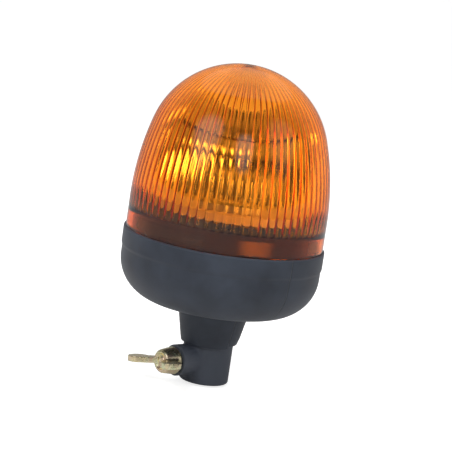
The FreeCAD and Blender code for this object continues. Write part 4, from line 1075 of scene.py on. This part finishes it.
@dataclass
class RubberBoot:
    """Rubber base: neck over the tube, bowl, proud lip and the shelf that carries the chassis."""

    tube_r: float = 18.0
    neck_r: float = 20.5
    neck_z: float = 28.0
    neck_step: float = 1.8
    step_reach: float = 3.0
    step_width: float = 0.5
    neck_flare: tuple[Point, ...] = ((1.5, 7.2), (3.0, 14.4), (4.5, 21.5))
    neck_round: float = 0.6
    top_centre: Point = (28.2, 52.2)
    top_round: float = 2.4
    tube_corner: float = 0.4
    under: tuple[Point, ...] = ((34.0, 55.1), (41.0, 55.85))
    bowl_centre: Point = (41.8, 86.03)
    bowl_round: float = 30.0
    wall: float = 3.0
    lip_z: float = 92.03
    lip_r: float = 72.5
    lip_in_r: float = 69.9
    lip_top: float = 106.53
    lip_start: tuple[Point, ...] = ((0.0, -0.6), (0.07, 0.1), (0.24, 0.7))
    lip_swell: tuple[Point, ...] = ((-0.2, 1.4), (-0.04, 2.1), (0.0, 2.9))
    lip_round: float = 1.0
    lip_in_round: float = 0.5
    shelf_z: float = 92.23
    shelf_r: float = 64.0
    shelf_thick: float = 4.0
    shelf_corner: float = 0.2
    columns: int = 176
    seam_turns: tuple[float, ...] = (-0.025, -0.012, 0.012, 0.025)

    def neck(self) -> list[Point]:
        """Outer face of the neck, from the tube up to the bowl's underside.

        Returns:
            The points in millimetres.
        """
        corner, edge = self.tube_corner, self.neck_round
        points = [(self.tube_r, self.neck_z + corner), (self.tube_r + corner, self.neck_z)]
        points += arc((self.neck_r - edge, self.neck_z + edge), edge, -90, -10, 4)
        points += [(self.neck_r + out, self.neck_z + up) for out, up in self.neck_flare]
        return points + arc(self.top_centre, self.top_round, 168, 98, 5)

    def profile(self) -> list[Point]:
        """Outline of the section, outer face first.

        Returns:
            The points of the closed loop in millimetres.
        """
        bowl_r = self.bowl_centre[0] + self.bowl_round
        edge, in_edge = self.lip_round, self.lip_in_round
        points = [*self.neck(), *self.under, *arc(self.bowl_centre, self.bowl_round, -84, 0, 22)]
        points += [(bowl_r + out, self.lip_z + up) for out, up in self.lip_start]
        points += [(self.lip_r + out, self.lip_z + up) for out, up in self.lip_swell]
        points += arc((self.lip_r - edge, self.lip_top - edge), edge, 0, 90, 5)
        points += arc((self.lip_in_r + in_edge, self.lip_top - in_edge), in_edge, 90, 180, 3)
        points += [(self.lip_in_r, self.shelf_z + self.shelf_corner),
                   (self.lip_in_r - self.shelf_corner, self.shelf_z),
                   (self.shelf_r, self.shelf_z),
                   (self.shelf_r, self.shelf_z - self.shelf_thick),
                   (bowl_r - self.wall, self.shelf_z - self.shelf_thick)]
        points += arc(self.bowl_centre, self.bowl_round - self.wall, 0, -90, 16)
        points += [(self.tube_r, self.bowl_centre[1] - self.bowl_round + self.wall)]
        return points

    def spot(self, point: Point, angle: float) -> Point:
        """Place of a point of the section at an angle; the neck's half toward +X ends higher.

        Args:
            point: radius and height in millimetres.
            angle: polar angle in radians.

        Returns:
            Radius and height in metres.
        """
        radius, height = point
        if height < self.neck_z + self.step_reach:
            height += self.neck_step * min(1.0, max(0.0, 0.5 + math.cos(angle) * radius / self.step_width))
        return radius * MM, height * MM

    def build(self) -> None:
        """Build the boot and hand it over."""
        near = [side + turn for side in (math.pi / 2, math.pi * 3 / 2) for turn in self.seam_turns]
        turns = sorted({*even_angles(self.columns), *near})
        boot = ring_mesh("rubber_bowl", self.profile(), turns, self.spot)
        hand_over(boot, "base", "rubber", Stock.RUBBER, "rubber_boot")


@dataclass
class WingScrew:
    """Die-cast wing screw with rounded edges and a turned thread."""

    axis_z: float = 16.4
    base_x: float = -31.5
    hub_r: float = 10.0
    hub_end_r: float = 8.25
    hub_length: float = 12.0
    hub_edge: float = 0.5
    hub_columns: int = 64
    hub_end: tuple[Point, ...] = ((-0.25, 1.6), (0.5, 0.5), (1.4, 0.0), (2.4, 0.0), (3.2, 1.1), (4.6, 1.2),
                                  (5.4, 0.3))
    dimple: tuple[Point, ...] = ((1.3, 0.3), (0.6, 0.9), (0.0, 1.1))
    wing_root: tuple[Point, ...] = ((2.2, 4.0), (2.4, 8.8), (5.0, 11.5), (9.3, 15.2))
    wing_tip: Point = (17.4, 18.1)
    wing_tip_r: float = 7.5
    wing_tip_arc: tuple[float, float, int] = (219.0, -62.0, 22)
    wing_heel: tuple[Point, ...] = ((17.6, 8.4), (14.2, 6.4), (11.4, 4.6), (10.8, 2.0))
    wing_thick: float = 4.2
    wing_turn: float = 8.0
    melt_size: float = 0.42
    soften_passes: int = 5
    thread_r: float = 5.0
    thread_depth: float = 0.85
    thread_flank: float = 2.4
    thread_start: float = -0.6
    thread_corner: float = 0.5
    thread_columns: int = 32
    run_in: float = 1.5
    run_out: float = 1.2
    pitch: float = 1.5
    rows_per_turn: int = 8
    tip_x: float = -16.3
    dog_r: float = 2.5
    dog_x: float = -14.3
    dog_corner: float = 0.3
    dog_step: float = 0.05

    def wing_outline(self) -> list[Point]:
        """Outline of one wing: along the screw from the hub's base, and out from its axis."""
        tip = arc(self.wing_tip, self.wing_tip_r, *self.wing_tip_arc)
        return [*self.wing_root, *tip[1:], *self.wing_heel]

    def wing(self, side: int) -> bpy.types.Object:
        """Plate of one wing.

        Args:
            side: 1 for the wing toward +Y and -1 for the other.

        Returns:
            The closed plate.
        """
        shape = bmesh.new()
        low, high = ([shape.verts.new((self.base_x - along, side * out, lift * self.wing_thick))
                      for along, out in self.wing_outline()] for lift in (-0.5, 0.5))
        shape.faces.new(low)
        shape.faces.new(high[::-1])
        skin(shape, high, low)
        bmesh.ops.recalc_face_normals(shape, faces=shape.faces[:])
        return finish_mesh("wing_blank", shape)

    def hub(self) -> bpy.types.Object:
        """Tapered hub with a shallow ring round a dimple in its end.

        Returns:
            The closed hub.
        """
        profile = [(0.0, 0.0), (self.hub_r - self.hub_edge, 0.0), (self.hub_r, self.hub_edge)]
        profile += [(self.hub_end_r - inset, self.hub_length - depth) for inset, depth in self.hub_end]
        profile += [(radius, self.hub_length - depth) for radius, depth in self.dimple]
        angles = even_angles(self.hub_columns)
        hub = ring_mesh("hub_blank", profile, angles, lambda point, angle: point, poles=True)
        hub.data.transform(self.along_screw(-90))
        return hub

    def casting(self) -> bpy.types.Object:
        """Hub and wings run together, with the soft corners of a casting.

        Returns:
            The casting in place.
        """
        joined = bmesh.new()
        for blank in (self.hub(), self.wing(1), self.wing(-1)):
            joined.from_mesh(blank.data)
            bpy.data.objects.remove(blank)
        casting = finish_mesh("wing_casting", joined)
        melt = casting.modifiers.new("melt", "REMESH")
        melt.mode = "VOXEL"
        melt.voxel_size = self.melt_size
        melt.use_smooth_shade = True
        soften = casting.modifiers.new("soften", "SMOOTH")
        soften.factor = 0.5
        soften.iterations = self.soften_passes
        settle(casting)
        casting.data.transform(self.stand())
        casting.data.shade_smooth()
        return casting

    def along_screw(self, turn: float) -> Matrix:
        """Matrix that lays a piece made along Z on the screw's axis, from the hub's base; turn in degrees."""
        return Matrix.Translation((self.base_x, 0, 0)) @ Matrix.Rotation(math.radians(turn), 4, "Y")

    def stand(self) -> Matrix:
        """Matrix from the screw's own millimetres to its place in metres."""
        turn = Matrix.Rotation(math.radians(-self.wing_turn), 4, "X")
        return Matrix.Translation((0, 0, self.axis_z * MM)) @ Matrix.Scale(MM, 4) @ turn

    def thread(self, point: Point, angle: float) -> Point:
        """Cut the thread into a point that lies at the thread's full radius.

        Args:
            point: radius and place along the shaft from the hub's base.
            angle: polar angle in radians.

        Returns:
            Radius and place along the shaft.
        """
        radius, along = point
        if radius != self.thread_r:
            return point
        phase = (along / self.pitch - angle / (2 * math.pi)) % 1.0
        groove = max(0.0, 1.0 - abs(phase - 0.5) * self.thread_flank)
        left = self.tip_x - self.base_x - along
        fade = max(0.0, min(1.0, along / self.run_in, left / self.run_out))
        return radius - self.thread_depth * groove * fade, along

    def shaft(self) -> bpy.types.Object:
        """Threaded shaft with a dog point.

        Returns:
            The closed shaft in place.
        """
        length, dog = self.tip_x - self.base_x, self.dog_x - self.base_x
        count = int(length / self.pitch * self.rows_per_turn)
        rows = [(0.0, self.thread_start), (self.thread_r - self.thread_corner, self.thread_start)]
        rows += [(self.thread_r, length * index / count) for index in range(count + 1)]
        rows += [(self.dog_r, length + self.dog_step),
                 (self.dog_r, dog - self.dog_corner),
                 (self.dog_r - self.dog_corner, dog),
                 (0.0, dog)]
        shaft = ring_mesh("clamp_thread", rows, even_angles(self.thread_columns), self.thread, poles=True)
        shaft.data.transform(self.stand() @ self.along_screw(90))
        return shaft

    def build(self) -> None:
        """Build the screw and hand it over."""
        for piece in (self.casting(), self.shaft()):
            hand_over(piece, "clamp_screw", "yellow_zinc", Stock.YELLOW_ZINC, "wing_screw")
        dress(Stock.BRASS, "thrust_pad", "screw_insert")


@dataclass
class Reflector:
    """Parabolic mirror of even thickness, from the front an oblong with round corners."""

    heading: float = 227.0
    focus: float = 23.78
    middle_z: float = 163.53
    half_wide: float = 40.0
    half_tall: float = 32.5
    corner: float = 25.0
    wall: float = 1.4
    spokes: int = 120
    rings: int = 22
    farthest: float = 100.0
    halvings: int = 40
    sharp: float = 50.0

    def rim(self, turn: float) -> Point:
        """Edge of the mirror seen from the front: an oblong with round corners, found by halving.

        Args:
            turn: angle round the middle in radians.

        Returns:
            Sideways and upward distance in millimetres.
        """
        side, up = math.cos(turn), math.sin(turn)
        low, high = 0.0, self.farthest
        for _ in range(self.halvings):
            reach = (low + high) / 2
            over_x = max(0.0, abs(side) * reach - (self.half_wide - self.corner))
            over_y = max(0.0, abs(up) * reach - (self.half_tall - self.corner))
            inside = math.hypot(over_x, over_y) <= self.corner
            low, high = (reach, high) if inside else (low, reach)
        return side * low, up * low

    def point(self, across: float, up: float, back: float) -> Vector:
        """Place of a point of the mirror.

        Args:
            across: sideways from the middle.
            up: upward from the middle.
            back: how far behind the mirror face, along its normal.

        Returns:
            The place in metres.
        """
        depth = -self.focus + (across ** 2 + up ** 2) / (4 * self.focus)
        normal = Vector((-1.0, across / (2 * self.focus), up / (2 * self.focus))).normalized()
        local = Vector((depth, across, up)) + normal * back
        turn = math.radians(self.heading)
        return Vector((local.x * math.cos(turn) - local.y * math.sin(turn),
                       local.x * math.sin(turn) + local.y * math.cos(turn), self.middle_z + local.z)) * MM

    def build(self) -> None:
        """Build the mirror and hand it over."""
        shape = bmesh.new()
        edge = [self.rim(turn) for turn in even_angles(self.spokes)]
        layers = [(index / self.rings, 0.0) for index in range(self.rings + 1)]
        layers += [(1.0, self.wall * 0.5), (1.0, self.wall)]
        layers += [(1.0 - index / self.rings, self.wall) for index in range(1, self.rings + 1)]
        grid = []
        for share, back in layers:
            if share == 0.0:
                grid.append([shape.verts.new(self.point(0.0, 0.0, back))] * self.spokes)
                continue
            grid.append([shape.verts.new(self.point(x * share, y * share, back)) for x, y in edge])
        for low, high in zip(grid, grid[1:]):
            skin(shape, low, high)
        mirror = finish_mesh("mirror_shell", shape, self.sharp)
        hand_over(mirror, "rotor", "mirror", Stock.MIRROR, "reflector")
        dress(Stock.DRAWN_STEEL, "reflector_bracket")
        dress(Stock.ALUMINIUM, "reflector_rivets")
        dress(Stock.ZINC, "bracket_screws", "counterweight")


@dataclass(frozen=True)
class WoundWire:
    """Coil of wire that fills a CAD node's place, wound by a rule."""

    name: str
    node: str
    coil_r: float
    length: float
    turns: float
    wire_r: float
    stock: Stock
    steps_per_turn: int = 20
    wire_sides: int = 8

    def recipe(self) -> GeometryRecipe:
        """Coil along the Z axis, from the origin up.

        Returns:
            The Geometry Nodes recipe.
        """
        sizes = {"Turns": self.turns, "Coil Radius": self.coil_r * MM, "Length": self.length * MM,
                 "Wire Radius": self.wire_r * MM}
        recipe = GeometryRecipe(f"Wound {self.node}", sizes)
        tree, given = recipe.tree, recipe.given
        helix = tree.add("GeometryNodeCurveSpiral", Resolution=self.steps_per_turn,
                         Start_Radius=given["Coil Radius"], End_Radius=given["Coil Radius"],
                         Rotations=given["Turns"], Height=given["Length"])
        wire = tree.add("GeometryNodeCurvePrimitiveCircle", {"mode": "RADIUS"}, Resolution=self.wire_sides,
                        Radius=given["Wire Radius"])
        swept = tree.add("GeometryNodeCurveToMesh", Curve=helix.outputs[0], Profile_Curve=wire.outputs[0],
                         Fill_Caps=True)
        recipe.close(swept.outputs[0])
        return recipe

    def wind(self) -> bpy.types.Object:
        """Wind the coil along the longest side of its node's box.

        Returns:
            The coil in place.
        """
        low, high = (Vector(corner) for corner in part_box(self.node))
        size = high - low
        wound = self.recipe().run(put(self.name, bpy.data.meshes.new(self.name)), self.stock)
        quarter = math.radians(90)
        turns = {"x": Matrix.Rotation(quarter, 4, "Y"), "y": Matrix.Rotation(quarter, 4, "X"),
                 "z": Matrix.Identity(4)}
        longest = max(turns, key=lambda side: getattr(size, side))
        centred = Matrix.Translation((0, 0, -self.length * MM / 2))
        wound.data.transform(Matrix.Translation((low + high) / 2) @ turns[longest] @ centred)
        wound.data.shade_smooth()
        return wound


@dataclass
class Bulb:
    """Halogen bulb in its holder, kept by a wire clip."""

    filament: WoundWire = WoundWire("filament_coil", "bulb_filament", 0.75, 4.8, 9.0, 0.14, Stock.TUNGSTEN)

    def build(self) -> None:
        """Dress the bulb's nodes and wind its filament."""
        dress(Stock.GLASS, "bulb_glass")
        dress(Stock.BULB_CAP, "bulb_base")
        dress(Stock.BULB_HOLDER, "bulb_holder")
        dress(Stock.SPRING_STEEL, "bulb_clip")
        hand_over(self.filament.wind(), "base", "tungsten", Stock.TUNGSTEN, "bulb_filament")


@dataclass
class Socket:
    """Pole socket: moulded tube with its steel sleeve and the supply contact in its end."""

    spring: WoundWire = WoundWire("contact_coil", "contact_spring", 2.6, 6.6, 5.0, 0.3, Stock.SPRING_STEEL)

    def build(self) -> None:
        """Dress the socket's nodes and wind the contact's spring."""
        dress(Stock.HOLDER, "tube_holder")
        dress(Stock.ZINC, "socket_sleeve")
        dress(Stock.INSULATOR, "contact_carrier")
        dress(Stock.BRASS, "contact_plunger", "supply_terminal", "ground_strip")
        self.build_spring()

    def build_spring(self) -> None:
        """Wind the spring and put it in place of its CAD node."""
        coil = self.spring.wind()
        paint(coil, Stock.SPRING_STEEL)
        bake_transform(coil)
        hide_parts("contact_spring")
        LOG.info("%s bends between base and contact", coil.name)


class Drive:
    """Chassis with its motor, gears and leads."""

    def build(self) -> None:
        """Dress the drive's nodes."""
        dress(Stock.CHASSIS, "chassis")
        dress(Stock.RUBBER, "lens_seal")
        dress(Stock.ZINC, "chassis_screws", "motor_screws", "idler_axle", "thrust_washer", "motor_shaft")
        dress(Stock.BRONZE, "tower_bush")
        dress(Stock.DRAWN_STEEL, "motor_case")
        dress(Stock.INSULATOR, "motor_end_cap")
        dress(Stock.BRASS, "motor_tabs", "motor_pinion")
        dress(Stock.NYLON, "idler_gear", "rotor_gear")
        dress(Stock.TURNTABLE, "turntable")
        dress(Stock.RED_LEAD, "lead_bulb", "lead_motor")
        dress(Stock.BLACK_LEAD, "lead_ground")


# ---------------------------------------------------------------- studio


def direction(azimuth: float, elevation: float) -> Vector:
    """Direction away from the beacon.

    Args:
        azimuth: degrees from -Y toward +X.
        elevation: degrees above the floor.

    Returns:
        The direction, one metre long.
    """
    turn, rise = math.radians(azimuth), math.radians(elevation)
    return Vector((math.sin(turn) * math.cos(rise), -math.cos(turn) * math.cos(rise), math.sin(rise)))


@dataclass(frozen=True)
class SoftBox:
    """Rectangular studio lamp with a plain white face; its azimuth counts from the camera's."""

    name: str
    azimuth: float
    elevation: float
    reach: float
    width: float
    height: float
    watts: float

    def build(self, middle: Vector, azimuth: float) -> None:
        """Place the lamp.

        Args:
            middle: the beacon's middle, which the lamp looks at.
            azimuth: the camera's azimuth in degrees.
        """
        data = bpy.data.lights.new(self.name, "AREA")
        data.shape = "RECTANGLE"
        data.size, data.size_y = self.width, self.height
        data.energy = self.watts
        lamp = put(self.name, data)
        away = direction(azimuth + self.azimuth, self.elevation)
        lamp.location = middle + away * self.reach
        lamp.rotation_euler = (-away).to_track_quat("-Z", "Y").to_euler()
        lamp.visible_glossy = False
        lamp.visible_transmission = False


@dataclass(frozen=True)
class Patch:
    """Soft bright patch of the surroundings; angles in degrees, azimuth from -Y toward +X."""

    azimuth: float
    elevation: float
    inner: float
    outer: float
    level: float

    def mask(self, tree: Tree, look: Output) -> Output:
        """Mask of the directions inside the patch.

        Args:
            tree: the world's tree.
            look: direction that is asked about.

        Returns:
            The mask's socket: 1 up to the inner angle and 0 from the outer one.
        """
        facing = tree.vector("DOT_PRODUCT", look, direction(self.azimuth, self.elevation))
        edges = (math.cos(math.radians(angle)) for angle in (self.outer, self.inner))
        return tree.ramp(facing, *edges, soft=True)


@dataclass(frozen=True)
class Pool:
    """Round pool of light on the floor, in metres, that only shows through the lens."""

    azimuth: float
    reach: float
    inner: float
    outer: float
    level: float

    def light(self, tree: Tree, place: Output) -> Output:
        """Light of the pool at a place of the floor."""
        apart = tree.vector("DISTANCE", place, direction(self.azimuth, 0.0) * self.reach)
        return tree.ramp(apart, self.inner, self.outer, self.level, 0.0, soft=True)


@dataclass
class Studio:
    """Pale floor, white surroundings, soft lamps and the camera.

    The camera sees white all round. Gloss sees a dark room with its panels, and a faint sweep behind the
    beacon. Rays that have passed through the lens see the full sweep, the windows and the pool.
    """

    azimuth: float = -43.0
    elevation: float = 10.1
    distance: float = 1.3
    lens: float = 144.8
    sensor: float = 36.0
    lean: float = 8.5
    aim: tuple[float, float, float] = (0.0, 0.0, 0.1143)
    middle: tuple[float, float, float] = (0.0, 0.0, 0.12)
    room: float = 0.08
    plain: float = 0.35
    panels: tuple[Patch, ...] = (Patch(137.0, 62.0, 31.0, 36.0, 0.55), Patch(-88.0, 30.0, 8.0, 22.0, 1.8),
                                 Patch(-34.0, 24.0, 6.0, 13.0, 1.6), Patch(20.0, 30.0, 8.0, 24.0, 0.6))
    windows: tuple[Patch, ...] = (Patch(32.0, 13.0, 10.0, 16.0, 16.0), Patch(-2.0, 2.0, 6.0, 9.0, 14.0))
    pool: Pool = Pool(-6.0, 0.8, 0.15, 0.35, 9.0)
    sweep_level: float = 1.12
    sweep_in_gloss: float = 0.3
    sweep_inner: float = 60.0
    sweep_outer: float = 100.0
    floor_z: float = -1.5 * MM
    floor_half: float = 6.0
    floor_grain: float = 0.01
    floor_patch: float = 0.4
    floor_roughness: float = 0.9
    floor_tones: tuple[Colour, Colour] = ((0.66, 0.66, 0.66), (0.70, 0.70, 0.70))
    floor_in_gloss: Colour = (0.5, 0.5, 0.5)
    floor_start: float = -0.1
    floor_end: float = 0.25
    floor_dark: float = 0.12
    floor_glow: float = 0.78
    floor_glow_in_gloss: float = 0.15
    lamps: tuple[SoftBox, ...] = (SoftBox("key", -38.0, 42.0, 1.2, 0.6, 0.6, 8.0),
                                  SoftBox("fill", 62.0, 22.0, 1.4, 0.35, 0.8, 3.5),
                                  SoftBox("top", 10.0, 78.0, 1.1, 0.6, 0.6, 4.0),
                                  SoftBox("back", 170.0, 35.0, 1.4, 0.8, 0.6, 3.0))

    def floor_light(self, tree: Tree, rays: bpy.types.NodeOutputs) -> Output:
        """Light that the floor sends to each kind of ray: most to the camera, little to gloss.

        Args:
            tree: the floor material's tree.
            rays: outputs of its Light Path node.

        Returns:
            The strength's socket.
        """
        place = tree.object_place()
        away = tree.vector("DOT_PRODUCT", place, direction(self.azimuth + 180.0, 0.0))
        sweep = tree.ramp(away, self.floor_start, self.floor_end, self.floor_dark, self.sweep_level,
                          soft=True)
        lit = tree.math("MAXIMUM", sweep, self.pool.light(tree, place))
        through = tree.math("MULTIPLY", rays["Is Transmission Ray"], lit)
        gloss = tree.math("MULTIPLY", rays["Is Glossy Ray"], self.floor_glow_in_gloss)
        seen = tree.math("MAXIMUM", rays["Is Camera Ray"], tree.math("MAXIMUM", gloss, through))
        return tree.math("MULTIPLY", seen, self.floor_glow)

    def floor_material(self) -> bpy.types.Material:
        """Build the floor's material.

        Returns:
            The material.
        """
        surface = Surface("pale floor", self.floor_grain, self.floor_patch)
        tree = surface.tree
        rays = tree.add("ShaderNodeLightPath").outputs
        pale = tree.blend(surface.patches, *self.floor_tones)
        surface.set(Base_Color=tree.blend(rays["Is Glossy Ray"], pale, self.floor_in_gloss),
                    Roughness=self.floor_roughness, Specular_IOR_Level=0.0,
                    Emission_Color=WHITE, Emission_Strength=self.floor_light(tree, rays))
        return surface.material

    def build_floor(self) -> None:
        """Place the floor."""
        shape = bmesh.new()
        bmesh.ops.create_grid(shape, x_segments=1, y_segments=1, size=self.floor_half)
        mesh = bpy.data.meshes.new("floor")
        shape.to_mesh(mesh)
        shape.free()
        mesh.materials.append(self.floor_material())
        floor = put("floor", mesh)
        floor.location.z = self.floor_z
        floor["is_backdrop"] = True

    def build_world(self) -> None:
        """Surround the beacon: white to the camera, patches in gloss and glass, plain light elsewhere."""
        world = bpy.data.worlds.new("studio")
        world.use_nodes = True
        tree = Tree(world.node_tree)
        rays = tree.add("ShaderNodeLightPath").outputs
        look = tree.add("ShaderNodeTexCoord").outputs["Generated"]
        behind = Patch(self.azimuth + 180.0, 0.0, self.sweep_inner, self.sweep_outer, self.sweep_level)
        sweep = behind.mask(tree, look)
        shine = self.room
        for panel in self.panels:
            shine = tree.math("MULTIPLY_ADD", panel.mask(tree, look), panel.level, shine)
        shine = tree.math("MAXIMUM", tree.math("MULTIPLY", sweep, self.sweep_in_gloss), shine)
        through = tree.math("MAXIMUM", tree.math("MULTIPLY", sweep, behind.level), self.room)
        for window in self.windows:
            through = tree.math("MULTIPLY_ADD", window.mask(tree, look), window.level, through)
        gloss = tree.math("MULTIPLY", rays["Is Glossy Ray"], shine)
        glass = tree.math("MULTIPLY", rays["Is Transmission Ray"], through)
        bounced = tree.math("MAXIMUM", rays["Is Glossy Ray"], rays["Is Transmission Ray"])
        other = tree.math("MULTIPLY", tree.math("SUBTRACT", 1.0, bounced), self.plain)
        level = tree.math("ADD", tree.math("MAXIMUM", gloss, glass), other)
        back = world.node_tree.nodes["Background"]
        tree.feed(back, "Color", WHITE)
        tree.feed(back, "Strength", tree.math("MAXIMUM", rays["Is Camera Ray"], level))
        bpy.context.scene.world = world

    def build_camera(self) -> None:
        """Place the camera; it leans, so that the beacon's top leans right in the view."""
        data = bpy.data.cameras.new("camera")
        data.lens = self.lens
        data.sensor_width = self.sensor
        camera = put("camera", data)
        back = direction(self.azimuth, self.elevation)
        look = (-back).to_track_quat("-Z", "Y").to_matrix().to_4x4()
        place = Matrix.Translation(Vector(self.aim) + back * self.distance)
        camera.matrix_world = place @ look @ Matrix.Rotation(math.radians(self.lean), 4, "Z")
        bpy.context.scene.camera = camera

    def build(self) -> None:
        """Build the studio."""
        self.build_camera()
        self.build_floor()
        self.build_world()
        for lamp in self.lamps:
            lamp.build(Vector(self.middle), self.azimuth)
        bpy.context.scene.view_settings.view_transform = "Standard"


def corners() -> list[list[float]]:
    """Lowest and highest corner of the beacon as plain lists."""
    return [list(corner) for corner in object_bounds()]


def main() -> None:
    """Build the beacon and its studio."""
    logging.basicConfig(level=logging.INFO, format="%(name)s: %(message)s")
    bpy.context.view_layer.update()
    Studio().build()
    for assembly in (Socket(), RubberBoot(), WingScrew(), Drive(), Reflector(), Bulb(), Lens()):
        LOG.info("building %s", type(assembly).__name__)
        assembly.build()


if __name__ == "__main__":
    main()
